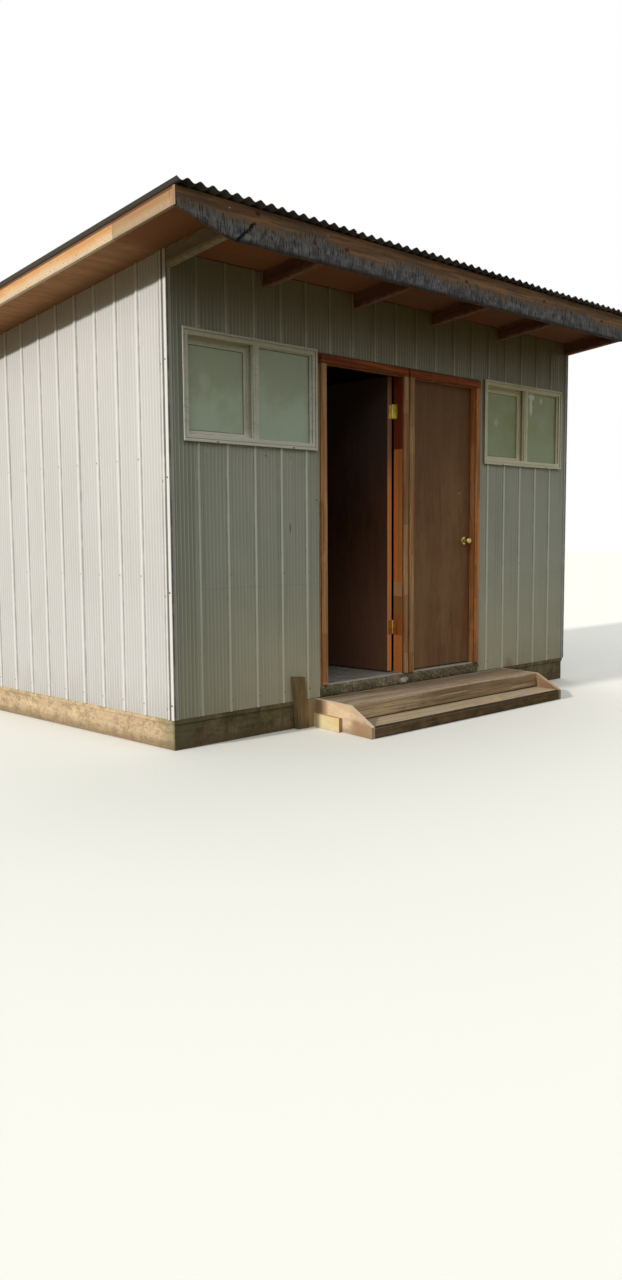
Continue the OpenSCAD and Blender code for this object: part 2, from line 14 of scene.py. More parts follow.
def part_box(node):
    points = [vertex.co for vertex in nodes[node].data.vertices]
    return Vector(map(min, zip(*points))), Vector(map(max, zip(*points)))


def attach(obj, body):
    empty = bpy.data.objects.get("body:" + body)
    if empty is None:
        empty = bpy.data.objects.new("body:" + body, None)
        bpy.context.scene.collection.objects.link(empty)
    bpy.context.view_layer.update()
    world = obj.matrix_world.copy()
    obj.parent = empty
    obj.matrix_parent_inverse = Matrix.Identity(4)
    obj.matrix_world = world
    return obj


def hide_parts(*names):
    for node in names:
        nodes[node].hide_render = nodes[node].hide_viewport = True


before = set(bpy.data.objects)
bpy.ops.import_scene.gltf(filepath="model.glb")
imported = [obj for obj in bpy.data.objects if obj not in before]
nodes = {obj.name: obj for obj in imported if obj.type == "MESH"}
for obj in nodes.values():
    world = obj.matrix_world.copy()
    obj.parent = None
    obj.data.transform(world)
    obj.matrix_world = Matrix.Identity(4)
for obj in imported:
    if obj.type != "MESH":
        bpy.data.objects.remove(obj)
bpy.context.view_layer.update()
rng = np.random.default_rng(11)


# The view: eye height, off the front left corner, looking slightly down. The lens spans the
# long side of a 622 by 1280 picture.

def shown(name, data):
    """A new object in the scene."""
    made = bpy.data.objects.new(name, data)
    bpy.context.scene.collection.objects.link(made)
    return made


eye = Vector((-5.3445, -5.6729, 1.1641))
yaw, pitch, roll = 0.7822, -0.1001, -0.0070
focal_px, long_side_px, sensor_mm = 1021.8, 1280, 36
ahead = math.cos(pitch)
forward = Vector((math.sin(yaw) * ahead, math.cos(yaw) * ahead, math.sin(pitch)))
level_right = Vector((math.cos(yaw), -math.sin(yaw), 0))
level_up = level_right.cross(forward)
right = level_right * math.cos(roll) + level_up * math.sin(roll)
up = level_up * math.cos(roll) - level_right * math.sin(roll)

camera = shown("camera", bpy.data.cameras.new("camera"))
camera.data.sensor_width = sensor_mm
camera.data.lens = sensor_mm * focal_px / long_side_px
camera.data.clip_end = 200
turned_round = Matrix((right, up, -forward)).transposed().to_4x4()
camera.matrix_world = Matrix.Translation(eye) @ turned_round
bpy.context.scene.camera = camera


# The stage: a pale floor and backdrop, a sky that is brightest overhead, a low key lamp from
# the left that leaves the front in shade, and two weak soft lamps that open the shadows of
# the front and of the far sides.

def put(tree, socket, value):
    """Links a socket to an input, or sets a plain value. Plain colours are opaque."""
    if isinstance(value, bpy.types.NodeSocket):
        tree.links.new(value, socket)
    else:
        socket.default_value = (*value, 1) if socket.type == "RGBA" else value


def add(tree, kind, inputs={}, **settings):
    """Puts a node into a tree, with its settings and its inputs."""
    node = tree.nodes.new("ShaderNode" + kind)
    for key, value in settings.items():
        setattr(node, key, value)
    for key, value in inputs.items():
        put(tree, node.inputs[key], value)
    return node


def math_of(tree, operation, *values):
    """One arithmetic step on sockets or numbers."""
    return add(tree, "Math", dict(enumerate(values)), operation=operation).outputs[0]


def two_faced(tree, lighting, seen, output):
    """One shader for the rays that carry light, another for those that see the backdrop: from
    the camera, in a gloss or through glass."""
    path = add(tree, "LightPath").outputs
    mask = math_of(tree, "MAXIMUM", path["Is Camera Ray"], path["Is Glossy Ray"])
    mask = math_of(tree, "MAXIMUM", mask, path["Is Transmission Ray"])
    mix = add(tree, "MixShader", {0: mask, 1: lighting.outputs[0], 2: seen.outputs[0]})
    add(tree, output, {"Surface": mix.outputs[0]})


world = bpy.data.worlds.new("studio")
bpy.context.scene.world = world
world.use_nodes = True
sky = world.node_tree
sky.nodes.clear()
overhead = add(sky, "SeparateXYZ", {0: add(sky, "TexCoord").outputs["Generated"]}).outputs["Z"]
sky_level = add(sky, "MapRange", {0: overhead, 1: 0.1, 2: 0.9, 3: 0.02, 4: 0.80}).outputs[0]
two_faced(sky, add(sky, "Background", {"Color": (0.97, 1.0, 0.92), "Strength": sky_level}),
          add(sky, "Background", {"Color": (1, 1, 1), "Strength": 1.0}), "OutputWorld")

floor_half, floor_z = 60, -0.002
floor_mesh = bpy.data.meshes.new("floor")
floor_mesh.from_pydata([(x * floor_half, y * floor_half, floor_z)
                        for x, y in ((-1, -1), (1, -1), (1, 1), (-1, 1))], [], [(0, 1, 2, 3)])
floor = shown("floor", floor_mesh)
floor_mesh.materials.append(bpy.data.materials.new("stage_floor"))
floor_mesh.materials[0].use_nodes = True
floor_tree = floor_mesh.materials[0].node_tree
floor_tree.nodes.clear()
two_faced(floor_tree, add(floor_tree, "BsdfDiffuse", {"Color": (0.105, 0.088, 0.045)}),
          add(floor_tree, "BsdfDiffuse", {"Color": (0.90, 0.90, 0.89)}), "OutputMaterial")


def lamp(name, height, behind, left_share, strength, spread, colour):
    """A distant lamp. Height is its angle over the floor and behind its angle from the line
    of the front wall towards the back, both in degrees; it stands on the left, or on the
    right where left_share is -1."""
    h, b = math.radians(height), math.radians(behind)
    toward = Vector((-left_share * math.cos(h) * math.cos(b), math.cos(h) * math.sin(b),
                     math.sin(h)))
    made = shown(name, bpy.data.lights.new(name, "SUN"))
    made.data.energy = strength
    made.data.angle = math.radians(spread)
    made.data.color = colour
    made.matrix_world = toward.to_track_quat("Z", "Y").to_matrix().to_4x4()


lamp("key", 24.5, 4.7, 1, 2.4, 3, (1.0, 0.95, 0.86))
lamp("front_fill", 35, -25, 1, 0.42, 40, (1.0, 0.97, 0.9))
lamp("back_fill", 40, 40, -1, 0.9, 60, (1.0, 0.99, 0.97))


# Concrete base: a strip footing cast in rough forms and a floor slab on it, which shows as a
# broken edge under the doors. The front is painted dark as shade, with dark streaks; the
# other sides are dry and tan.

class Pattern:
    """Shading steps in one node tree. Place is where patterns are read, x, y and z are its
    coordinates, and tone is the colour laid so far. A mask is a value from 0 to 1."""

    def __init__(self, tree, place):
        self.tree, self.place = tree, place
        self.x, self.y, self.z = add(tree, "SeparateXYZ", {0: place}).outputs

    def math(self, operation, *values):
        """One arithmetic step."""
        return math_of(self.tree, operation, *values)

    @property
    def behind(self):
        """Distance behind the front wall's face."""
        return self.math("SUBTRACT", self.y, wall_front)

    def scaled(self, value, factor, plus=0.0):
        """A value times a factor, plus another value."""
        return self.math("MULTIPLY_ADD", value, factor, plus)

    def times(self, product, *masks):
        """The product of masks."""
        for mask in masks:
            product = self.math("MULTIPLY", product, mask)
        return product

    def away(self, value, centre=0.0):
        """How far a value lies from a centre."""
        return self.math("ABSOLUTE", self.math("SUBTRACT", value, centre))

    def slope(self, value, start, full, most=1.0, least=0.0):
        """A smooth ramp from least at start to most at full, which may lie below start."""
        return add(self.tree, "MapRange", {0: value, 1: start, 2: full, 3: least, 4: most},
                   interpolation_type="SMOOTHSTEP").outputs[0]

    def band(self, value, outside, inside, leaving, left):
        """1 from inside to leaving, eased down to 0 at outside and at left."""
        return self.times(self.slope(value, outside, inside), self.slope(value, left, leaving))

    def blend(self, mask, a, b, mode="MIX"):
        """Colour a where the mask is 0 and b where it is 1."""
        return add(self.tree, "Mix", {0: mask, 6: a, 7: b}, data_type="RGBA",
                   blend_type=mode).outputs[2]

    def over(self, colour, *masks, mode="MIX"):
        """Lays a colour over the tone, as far as all the masks let it."""
        self.tone = self.blend(self.times(*masks), self.tone, colour, mode)

    def layer(self, value, start, full, most, colour, *within, mode="MIX"):
        """Lays a colour over the tone along the slope of a value, within further masks."""
        self.over(colour, self.slope(value, start, full, most), *within, mode=mode)

    def stretched(self, scale, turn=(0, 0, 0), shift=(0, 0, 0)):
        """The place scaled along each axis, then turned and moved."""
        return add(self.tree, "Mapping", {"Vector": self.place, "Location": shift,
                   "Rotation": turn, "Scale": scale}).outputs[0]

    def noise(self, scale, detail=4.0, rough=0.55):
        """Fractal noise between 0 and 1, with one scale or with three for the three axes."""
        place = self.place
        if isinstance(scale, tuple):
            place, scale = self.stretched(scale), 1
        return add(self.tree, "TexNoise", {"Vector": place, "Scale": scale, "Detail": detail,
                   "Roughness": rough}).outputs["Fac"]

    def spot(self, x, z, wide, high, ragged=0.0):
        """Distance from a point of the front in units of wide and high, with a ragged rim."""
        near = self.stretched((1 / wide, 0, 1 / high), shift=(-x / wide, 0, -z / high))
        near = add(self.tree, "VectorMath", {0: near}, operation="LENGTH").outputs["Value"]
        if ragged:
            rim = self.noise(1.2 / min(wide, high), 5)
            near = self.math("ADD", near, self.scaled(rim, ragged * 2, -ragged))
        return near

    def mark(self, name):
        """A mark that the mesh carries."""
        return add(self.tree, "Attribute", attribute_name=name).outputs["Fac"]

    def facing(self, axis):
        """How much the surface faces an axis: 1, or -1 where it faces away."""
        normal = add(self.tree, "NewGeometry").outputs["Normal"]
        return add(self.tree, "SeparateXYZ", {0: normal}).outputs[axis]

    def use(self, group, **inputs):
        """Places a node group and gives its outputs."""
        return add(self.tree, "Group", {"Place": self.place, **inputs}, node_tree=group).outputs


class Finish(Pattern):
    """A material with one Principled shader, patterned by the object's own coordinates."""

    def __init__(self, name, metallic=0.0, specular=0.5):
        self.material = bpy.data.materials.new(name)
        self.material.use_nodes = True
        tree = self.material.node_tree
        super().__init__(tree, add(tree, "TexCoord").outputs["Object"])
        self.shader = tree.nodes["Principled BSDF"].inputs
        self.shader["Metallic"].default_value = metallic
        self.shader["Specular IOR Level"].default_value = specular

    def surface(self, rough, height=None, depth=0.002):
        """Sets the roughness, and a bump of a depth in metres."""
        put(self.tree, self.shader["Roughness"], rough)
        if height is not None:
            bump = add(self.tree, "Bump", {"Strength": 1.0, "Distance": depth, "Height": height})
            put(self.tree, self.shader["Normal"], bump.outputs[0])

    def coloured(self):
        """Feeds the tone to the shader and gives the material."""
        put(self.tree, self.shader["Base Color"], self.tone)
        return self.material


def dress(finish, *names):
    """Gives CAD nodes a finish."""
    for name in names:
        nodes[name].data.materials.clear()
        nodes[name].data.materials.append(finish.coloured())


def effect(name, inputs, outputs):
    """A node group read at a place, as a pattern. Its inputs are numbers with their defaults,
    or colours (None); the output named Color is a colour and the others are values."""
    group = bpy.data.node_groups.new(name, "ShaderNodeTree")
    kinds = {"Place": "Vector"} | {key: "Color" if default is None else "Float"
                                   for key, default in inputs.items()}
    for key, kind in kinds.items():
        socket = group.interface.new_socket(key, in_out="INPUT", socket_type="NodeSocket" + kind)
        if kind == "Float":
            socket.default_value = inputs[key]
    for key in outputs:
        kind = "Color" if key == "Color" else "Float"
        group.interface.new_socket(key, in_out="OUTPUT", socket_type="NodeSocket" + kind)
    given = group.nodes.new("NodeGroupInput").outputs
    made = Pattern(group, given["Place"])
    made.given, made.out = given, group.nodes.new("NodeGroupOutput").inputs
    return made


# Splash: earth thrown up by rain, thick at the ground and gone at Reach metres
g = effect("ground_splash", {"Reach": 0.35, "Amount": 0.6}, ["Mask"])
level = g.math("DIVIDE", g.z, g.given["Reach"])
level = g.scaled(g.noise((7, 7, 2.45), 6, 0.65), -1.6, level)
put(g.tree, g.out["Mask"], g.times(g.slope(level, 0.2, -0.7), g.given["Amount"]))
splash = g.tree

# Cast concrete: clouds, stains, grains, pits and the grain of the form boards
g = effect("cast_concrete", {"Pale": None, "Dark": None}, ["Color", "Grit", "Height"])
grit = g.noise(95, 3, 0.7)
form = g.noise((1.2, 1.2, 52), 3)
cells = add(g.tree, "TexVoronoi", {"Vector": g.place, "Scale": 38.0}).outputs["Distance"]
g.tone = g.blend(g.slope(g.noise(3.5, 6, 0.62), 0.36, 0.66), g.given["Dark"], g.given["Pale"])
g.layer(g.noise((15, 15, 25.5), 7, 0.72), 0.47, 0.62, 0.55, (0.42, 0.38, 0.32), mode="MULTIPLY")
g.layer(grit, 0.4, 0.75, 0.5, (0.34, 0.31, 0.26), mode="MULTIPLY")
g.layer(form, 0.55, 0.8, 0.3, g.given["Dark"])
put(g.tree, g.out["Color"], g.tone)
put(g.tree, g.out["Grit"], grit)
put(g.tree, g.out["Height"], g.scaled(grit, 0.5, g.scaled(g.slope(cells, 0.08, 0.2), 0.5, form)))
cast = g.tree

wall_front, wall_back = -1.22, 1.22


def splashed(f, reach, amount, earth):
    """Lays splashed earth over the foot of a finish."""
    f.over(earth, f.use(splash, Reach=reach, Amount=amount)["Mask"])


def base_concrete(name, specular):
    """The strip's finish: painted dark on the front as shade, with dark streaks, dry and tan
    elsewhere, with a green stain near the left front corner. Also gives the dry concrete's outputs."""
    f = Finish(name, specular=specular)
    dry = f.use(cast, Pale=(0.86, 0.67, 0.435), Dark=(0.73, 0.55, 0.36))
    painted_shade_tone = f.use(cast, Pale=(0.40, 0.325, 0.185), Dark=(0.20, 0.165, 0.09))
    streak = f.noise((14, 14, 2))
    painted_shade_front = f.blend(f.slope(streak, 0.45, 0.7, 0.6), painted_shade_tone["Color"], (0.09, 0.075, 0.04))
    f.tone = dry["Color"]
    # Painted shade: the front face gets the dark tone
    f.layer(f.behind, 0.03, 0.012, 1, painted_shade_front)
    f.layer(f.scaled(streak, 0.3, f.behind), 0.31, 0.17, 0.6, (0.25, 0.235, 0.14),
            f.slope(f.x, -1.8, -1.9))
    splashed(f, 0.075, 0.65, (0.19, 0.125, 0.07))
    return f, dry


f, dry = base_concrete("footing_concrete", 0.2)
f.surface(f.slope(dry["Grit"], 0.2, 0.8, 0.98, 0.85), dry["Height"], 0.004)
dress(f, "footing")

# The slab's top is floated smooth, with a lip painted paler as light catching it
f, dry = base_concrete("slab_concrete", 0.3)
floated = f.use(cast, Pale=(0.42, 0.40, 0.37), Dark=(0.29, 0.275, 0.25))
lip = f.slope(f.scaled(f.noise(40), 0.02, f.behind), 0.03, 0.016, 0.75)
f.layer(f.z, 0.205, 0.225, 1, f.blend(lip, floated["Color"], (0.62, 0.59, 0.53)))
f.surface(f.slope(dry["Grit"], 0.2, 0.8, 0.95, 0.8), dry["Height"], 0.0015)
dress(f, "floor_slab")


def shell(grid, along=None, caps="strip", edge=None):
    """A closed skin over a grid of points: station i, ring point j. Quads join neighbours and
    the ring closes on itself. The ends close as a strip of quads (point j to its opposite
    number), as one flat face, or on the first station (caps None) for a loop. The UV map is
    the distance along the stations and round the ring, in metres."""
    grid = np.asarray(grid, float)
    n, m = grid.shape[:2]
    i, j = np.mgrid[0:n if caps is None else n - 1, 0:m]
    i2, j2 = (i + 1) % n, (j + 1) % m
    quads = np.stack([i * m + j, i2 * m + j, i2 * m + j2, i * m + j2], -1).reshape(-1, 4)
    step = np.linalg.norm(np.roll(grid, -1, 1) - grid, axis=2).mean(0)
    around = np.append(0, np.cumsum(step))
    if along is None:
        along = np.append(0, np.cumsum(np.linalg.norm(np.diff(grid.mean(1), axis=0), axis=1)))
    along = np.append(along, along[-1] + np.linalg.norm(grid[-1].mean(0) - grid[0].mean(0)))
    u = np.stack([along[i], along[i + 1], along[i + 1], along[i]], -1)
    v = np.stack([around[j], around[j], around[j + 1], around[j + 1]], -1)
    uv = np.stack([u, v], -1).reshape(-1, 2)
    faces = quads.tolist()
    last = (n - 1) * m
    if caps == "strip":
        a = np.arange(m // 2 - 1)
        low = np.stack([a, a + 1, m - 2 - a, m - 1 - a], -1)
        faces += low.tolist() + (last + low[:, ::-1]).tolist()
    elif caps == "flat":
        faces += [list(range(m)), list(range(last + m - 1, last - 1, -1))]
    points = grid.reshape(-1, 3)
    if caps:
        end = points[[p for f in faces[len(quads):] for p in f]] - grid[0].mean(0)
        end_uv = np.stack([end @ [0.31, 0.47, 0.83], end @ [0.8, -0.6, 0.2]], -1)
        uv = np.concatenate([uv, end_uv])
    # Faces turn outwards: the skin's volume comes out above zero
    tri = np.array([[f[0], f[k], f[k + 1]] for f in faces for k in range(1, len(f) - 1)])
    a, b, c = (points[tri[:, k]] - points.mean(0) for k in range(3))
    if np.einsum("ij,ij->i", a, np.cross(b, c)).sum() < 0:
        cut = np.cumsum([len(f) for f in faces])[:-1]
        uv = np.concatenate([part[::-1] for part in np.split(uv, cut)])
        faces = [f[::-1] for f in faces]
    return {"points": points, "faces": faces, "uv": uv,
            "marks": {} if edge is None else {"edge": np.tile(edge, n)}}


def piece(name, parts, finish, stands_for=(), body="building", smooth=38, apart=True):
    """One object from skins. Each skin gets its own shift of the UV map, so that no two
    boards share a grain. Marks become attributes of the points."""
    starts = np.cumsum([0] + [len(part["points"]) for part in parts])
    faces = [[p + start for p in f] for part, start in zip(parts, starts) for f in part["faces"]]
    mesh = bpy.data.meshes.new(name)
    mesh.from_pydata(np.concatenate([part["points"] for part in parts]), [], faces)
    if "uv" in parts[0]:
        uv = [part["uv"] + (rng.uniform(0, 40, 2) if apart else 0) for part in parts]
        uv = np.concatenate(uv).astype(np.float32)
        mesh.uv_layers.new(name="UVMap").data.foreach_set("uv", uv.ravel())
    for mark in parts[0].get("marks", ()):
        values = np.concatenate([part["marks"][mark] for part in parts]).astype(np.float32)
        mesh.attributes.new(mark, "FLOAT", "POINT").data.foreach_set("value", values)
    mesh.shade_smooth()
    mesh.set_sharp_from_angle(angle=math.radians(smooth))
    mesh.materials.append(finish.coloured())
    made = shown(name, mesh)
    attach(made, body)
    if stands_for:
        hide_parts(*stands_for)


# The broken slab edge: a lumpy strip of mortar on the slab's face between the door frames'
# feet and the step. Its lip is painted pale as light catching it, and a whitish lump sits
# under the middle jambs
doors_left, head_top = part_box("left_door_frame")[0].x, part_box("left_door_frame")[1].z
doors_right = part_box("right_door_frame")[1].x
slab_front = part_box("floor_slab")[0].y
sill_x = (doors_left - 0.001, doors_right + 0.001)
stations = np.linspace(*sill_x, 420)[:, None]
ring = np.array([(0, 169), (-6, 172), (-10, 185), (-11, 200), (-11, 214), (-10, 228), (-6, 240),
                 (0, 244.5)]) / 1000
lump = sum(np.sin(stations * f + ring[:, 1] * g + s) * a for f, g, s, a in
           [(31, 60, 0, .35), (83, 190, 1, .3), (171, 90, 2, .25), (390, 400, 4, .3),
            (610, 300, 5, .25)])
whitish = np.exp(-((stations + 0.042) / 0.03) ** 2)
edge_grid = np.zeros((*lump.shape, 3))
edge_grid[..., 0] = stations
edge_grid[..., 1] = slab_front + ring[:, 0] * (1.0 + 0.75 * lump + 0.9 * whitish)
ripple = np.sin(stations * 140 + ring[:, 1] * 90) * (ring[:, 0] < -0.001)
edge_grid[..., 2] = ring[:, 1] + 0.002 * ripple
edge_grid[:, [0, -1], 1] = slab_front - 0.0002

f = Finish("threshold_concrete", specular=0.2)
rough_cast = f.use(cast, Pale=(0.62, 0.52, 0.40), Dark=(0.33, 0.26, 0.18))
crumbs = f.noise(85, 5, 0.75)
f.tone = rough_cast["Color"]
f.layer(crumbs, 0.45, 0.58, 0.85, (0.12, 0.10, 0.07))
f.layer(f.noise(9), 0.45, 0.65, 0.5, (0.16, 0.16, 0.09))
# Painted light: a pale line along the lip's top
f.layer(f.scaled(crumbs, 0.014, f.z), 0.243, 0.247, 0.8, (0.60, 0.56, 0.48))
f.layer(f.spot(-0.042, 0.198, 0.050, 0.024, 0.5), 1, 0.5, 0.85, (0.92, 0.86, 0.76))
f.surface(0.95, rough_cast["Height"], 0.006)
piece("threshold_edge", [shell(edge_grid, caps="flat")], f)


# Wall frames: studs lined with plywood on the room side. Only the lining shows, through the
# doors.

g = effect("sawn_grain", {"Scale": 1.0, "Wander": 0.35}, ["Figure", "Fibre", "Knots", "Height"])
g.place = add(g.tree, "VectorMath", {0: g.place, "Scale": g.given["Scale"]},
              operation="SCALE").outputs[0]
cells = add(g.tree, "TexVoronoi", {"Vector": g.stretched((1.5, 6.5, 6.5)), "Scale": 1.0,
            "Randomness": 0.9}).outputs["Distance"]
bend = g.times(g.noise((1.3, 5, 5), 3), g.given["Wander"], 0.3)
lift = g.scaled(g.slope(cells, 0.42, 0.04), 0.05, bend)
lift = add(g.tree, "CombineXYZ", {1: lift, 2: lift}).outputs[0]
g.place = add(g.tree, "VectorMath", {0: g.place, 1: lift}, operation="ADD").outputs[0]
figure, fibre = g.noise((0.9, 38, 38), 5, 0.6), g.noise((9, 330, 330), 3, 0.6)
put(g.tree, g.out["Figure"], figure)
put(g.tree, g.out["Fibre"], fibre)
put(g.tree, g.out["Knots"], g.slope(cells, 0.11, 0.05))
put(g.tree, g.out["Height"], g.scaled(figure, 0.6, g.times(fibre, 0.4)))
sawn = g.tree

ALONG, UPRIGHT, ACROSS = (0, 0, 0), (0, math.pi / 2, 0), (0, 0, math.pi / 2)


def darker(colour, share):
    """A colour at a share of its strength."""
    return tuple(c * share for c in colour)


def timber(name, early, late, turn=None, scale=1.0, wander=0.35, knots=0.6, rough=0.75,
           depth=0.0012, splash_reach=0.0, worn=None, soft=(0.36, 0.66), specular=0.08):
    """Sawn wood between an early and a late tone. With a turn the grain runs along the turned X
    of the object, otherwise along the UV map. Worn is the tone of rubbed arrises."""
    f = Finish(name, specular=specular)
    if turn is None:
        grain_place = add(f.tree, "UVMap", uv_map="UVMap").outputs[0]
    else:
        grain_place = f.stretched((1, 1, 1), turn)
    grain = f.use(sawn, Place=grain_place, Scale=scale, Wander=wander)
    f.tone = f.blend(f.slope(grain["Figure"], *soft), early, late)
    f.layer(grain["Fibre"], 0.3, 0.75, 0.35, darker(late, 0.55))
    f.over((late[0] * 0.42, late[1] * 0.30, late[2] * 0.25), grain["Knots"], knots)
    f.layer(f.noise(2.2), 0.35, 0.7, 0.35, darker(early, 0.7))
    if worn:
        f.over(worn, f.slope(f.noise(30), 0.35, 0.6, 0.9, 0.15), f.mark("edge"))
    if splash_reach:
        splashed(f, splash_reach, 0.5, (0.15, 0.10, 0.06))
    f.surface(f.slope(grain["Fibre"], 0.2, 0.8, rough + 0.12, rough - 0.1), grain["Height"], depth)
    return f


dress(timber("lining_plywood", (0.40, 0.27, 0.16), (0.27, 0.165, 0.09), UPRIGHT, scale=0.45,
             wander=0.9, knots=0.3),
      "front_wall_left", "front_wall_right", "front_wall_over_doors", "left_wall", "right_wall",
      "back_wall")


# Cladding: steel sheet a millimetre thick, rolled into narrow upright ribs with shallow flutes
# between them, painted pale grey-cream and screwed to the frame beside the ribs. The sheets
# lap beside some of the ribs.

def painted_sheet(name, paint, shade, grime, creases, crest_highlight, lines=1.0, painted_top_light=0.0):
    """Painted steel: faint rain streaks, clouds of dust, earth splashed up at the foot, dirt and
    painted shade in the creases, painted shade on the ribs' flanks, painted light and shade
    on the flutes, and a painted highlight on each rib's crest. The paint is also painted
    paler towards the eaves by a given share, as painted light."""
    f = Finish(name, specular=0.14)
    crest, crease, flute = (f.mark(key) for key in ("crest", "crease", "flute"))
    streak = f.noise((34, 34, 0.7), 5, 0.6)
    cloud = f.noise(1.6, 5, 0.6)
    f.tone = f.blend(f.slope(cloud, 0.36, 0.68, 0.55), paint, shade)
    f.layer(streak, 0.52, 0.8, 0.4 * grime, darker(shade, 0.72))
    splashed(f, 0.42, 0.38 * grime, (0.34, 0.27, 0.16))
    # Painted light: paler towards the eaves
    f.layer(f.z, 0.9, 2.3, painted_top_light, (1, 1, 1))
    # Painted light and shade on the flutes
    f.layer(flute, 0.1, 0.8, 0.5 * lines, darker(paint, 1.12))
    f.layer(flute, 0.35, 0, 0.2 * lines, darker(shade, 0.62))
    # Painted shade on the ribs' flanks, then a painted highlight on their crests
    f.layer(crest, 0.02, 0.2, 0.4 * creases, darker(shade, 0.7), f.slope(crest, 0.7, 0.4))
    f.layer(crest, 0.25, 0.7, 0.8, darker(paint, crest_highlight))
    # Dirt and painted shade in the creases
    dirt_and_shade = f.slope(f.noise((3, 3, 9), 5), 0.3, 0.62, 0.85 * creases, 0.35 * creases)
    f.over(darker(shade, 0.30), crease, dirt_and_shade)
    bumps = f.scaled(cloud, 3, f.times(f.noise(160, 2), 0.06))
    f.surface(f.slope(streak, 0.3, 0.8, 0.62, 0.42), bumps, 0.0012)
    return f


rib_pitch, rib_foot, rib_crest, rib_high = 0.207, 0.012, 0.0045, 0.009
flute_half, flute_high, flutes = 0.0045, 0.0018, 7
cladding_foot, sheet_t = 0.170, 0.001


def pressed_sheet(length, first, leg, top, origin, along, outward, openings=(), laps=()):
    """A closed sheet over a wall. At a distance u along the wall its face stands out by a
    trapezoid at each rib, a low cosine bump at each flute and a slow swelling of each bay,
    half a cosine across the bay times a sine up it. Cells of the grid inside an opening
    (u0, z0, u1, z1) are left out, and every border gets a rim. Marks: crest is the share of a
    rib's height, crease is 1 at the feet of ribs and at laps, and flute is the nearness of a
    flute's middle, or 1 on a rib."""
    ribs = all_ribs = first + rib_pitch * np.arange(-1, math.ceil((length - first) / rib_pitch) + 1)
    ribs = ribs[np.minimum(ribs, length - ribs) > leg + 3 * sheet_t + rib_foot]
    gap = (rib_pitch - 2 * rib_foot) / flutes
    troughs = (all_ribs[:, None] - rib_pitch + rib_foot + (np.arange(flutes) + 0.5) * gap).ravel()
    laps = np.array(laps, float)
    half_rib = np.array([0.0037, 0.0045, 0.0053, 0.0115, 0.012, 0.0145, 0.0155])
    half_flute = np.array([0.0011, 0.0028, flute_half])
    u = np.concatenate([
        (ribs[:, None] + [*-half_rib, *half_rib]).ravel(),
        (troughs[:, None] + [*-half_flute, *half_flute]).ravel(),
        (laps[:, None] + [-0.003, -0.002, -0.0001, 0.0001]).ravel(),
        [v for box in openings for v in (box[0], box[2])], [0, length]])
    u = np.unique(np.round(u[(u >= 0) & (u <= length)], 5))
    crown = top(u)
    levels = np.unique(np.round([*np.linspace(cladding_foot, crown.max(), 15),
                                 *[v for box in openings for v in (box[1], box[3])]], 5))
    levels = levels[(levels >= cladding_foot - 1e-4) & (levels <= crown.max() + 1e-4)]
    share = (levels - cladding_foot) / (crown.max() - cladding_foot)
    z = cladding_foot + share * (crown[:, None] - cladding_foot)

    from_rib = np.abs(u[:, None] - ribs).min(1)
    crest = np.clip((rib_foot - from_rib) / (rib_foot - rib_crest), 0, 1)
    from_flute = np.clip(np.abs(u[:, None] - troughs).min(1) / flute_half, 0, 1)
    height = crest * rib_high + flute_high * 0.5 * (1 + np.cos(np.pi * from_flute))
    bay = (u - all_ribs[0]) / rib_pitch
    phase = rng.uniform(0, 2 * math.pi, (2, len(all_ribs) + 1))[:, np.floor(bay).astype(int), None]
    ends = np.clip(np.minimum(u, length - u) / 0.12 - 0.6, 0, 1)
    swell = 0.0012 * np.sin(np.pi * (bay % 1)) ** 2 * ends
    wander = 0.5 + 0.3 * np.sin(z * 3.1 + phase[0]) + 0.2 * np.sin(z * 7.3 + phase[1])
    height = height[:, None] + swell[:, None] * wander
    crease = ((from_rib > 0.0114) & (from_rib < 0.0146)) * 0.8
    if len(laps):
        height += 0.0007 * (np.searchsorted(laps, u) % 2)[:, None]
        crease = np.maximum(crease, (np.abs(u[:, None] - laps + 0.001).min(1) < 0.0013) * 1.0)

    along, outward = np.array(along, float), np.array(outward, float)
    outer = (np.array(origin, float) + u[:, None, None] * along + z[..., None] * [0, 0, 1]
             + height[..., None] * outward)
    points = np.concatenate([outer.reshape(-1, 3), (outer - sheet_t * outward).reshape(-1, 3)])
    mid_u, mid_z = ((u[1:] + u[:-1]) / 2)[:, None], (levels[1:] + levels[:-1]) / 2
    keep = np.ones(np.subtract(z.shape, 1), bool)
    for u0, z0, u1, z1 in openings:
        keep &= ~((mid_u > u0) & (mid_u < u1) & (mid_z > z0) & (mid_z < z1))
    at = np.arange(z.size).reshape(z.shape)
    a, b, c, d = at[:-1, :-1], at[1:, :-1], at[1:, 1:], at[:-1, 1:]
    faces = [np.stack([a, b, c, d], -1)[keep], np.stack([d, c, b, a], -1)[keep] + z.size]
    wide = np.pad(keep, 1)
    for p, q, beside in ((a, d, wide[:-2, 1:-1]), (c, b, wide[2:, 1:-1]),
                         (b, a, wide[1:-1, :-2]), (d, c, wide[1:-1, 2:])):
        rim = keep & ~beside
        faces.append(np.stack([p, q, q + z.size, p + z.size], -1)[rim])
    used, faces = np.unique(np.concatenate(faces), return_inverse=True)
    faces = faces.reshape(-1, 4)
    if np.dot(np.cross(along, [0, 0, 1]), outward) < 0:
        faces = faces[:, ::-1]
    marks = {"crest": crest, "crease": crease, "flute": 1 - from_flute + (from_rib < 0.016)}
    return {"points": points[used], "faces": faces.tolist(),
            "marks": {key: np.tile(np.repeat(value, len(levels)), 2)[used]
                      for key, value in marks.items()}}


# The roof's fall, which the heads of the walls follow
pitch_angle, rafters_z, rafter_deep = math.radians(6.3), 2.587, 0.090
rafter_high_z = rafter_deep / math.cos(pitch_angle)


def under_roof(y):
    """Height of the rafters' underside at y."""
    return rafters_z - (y - wall_front) * math.tan(pitch_angle)


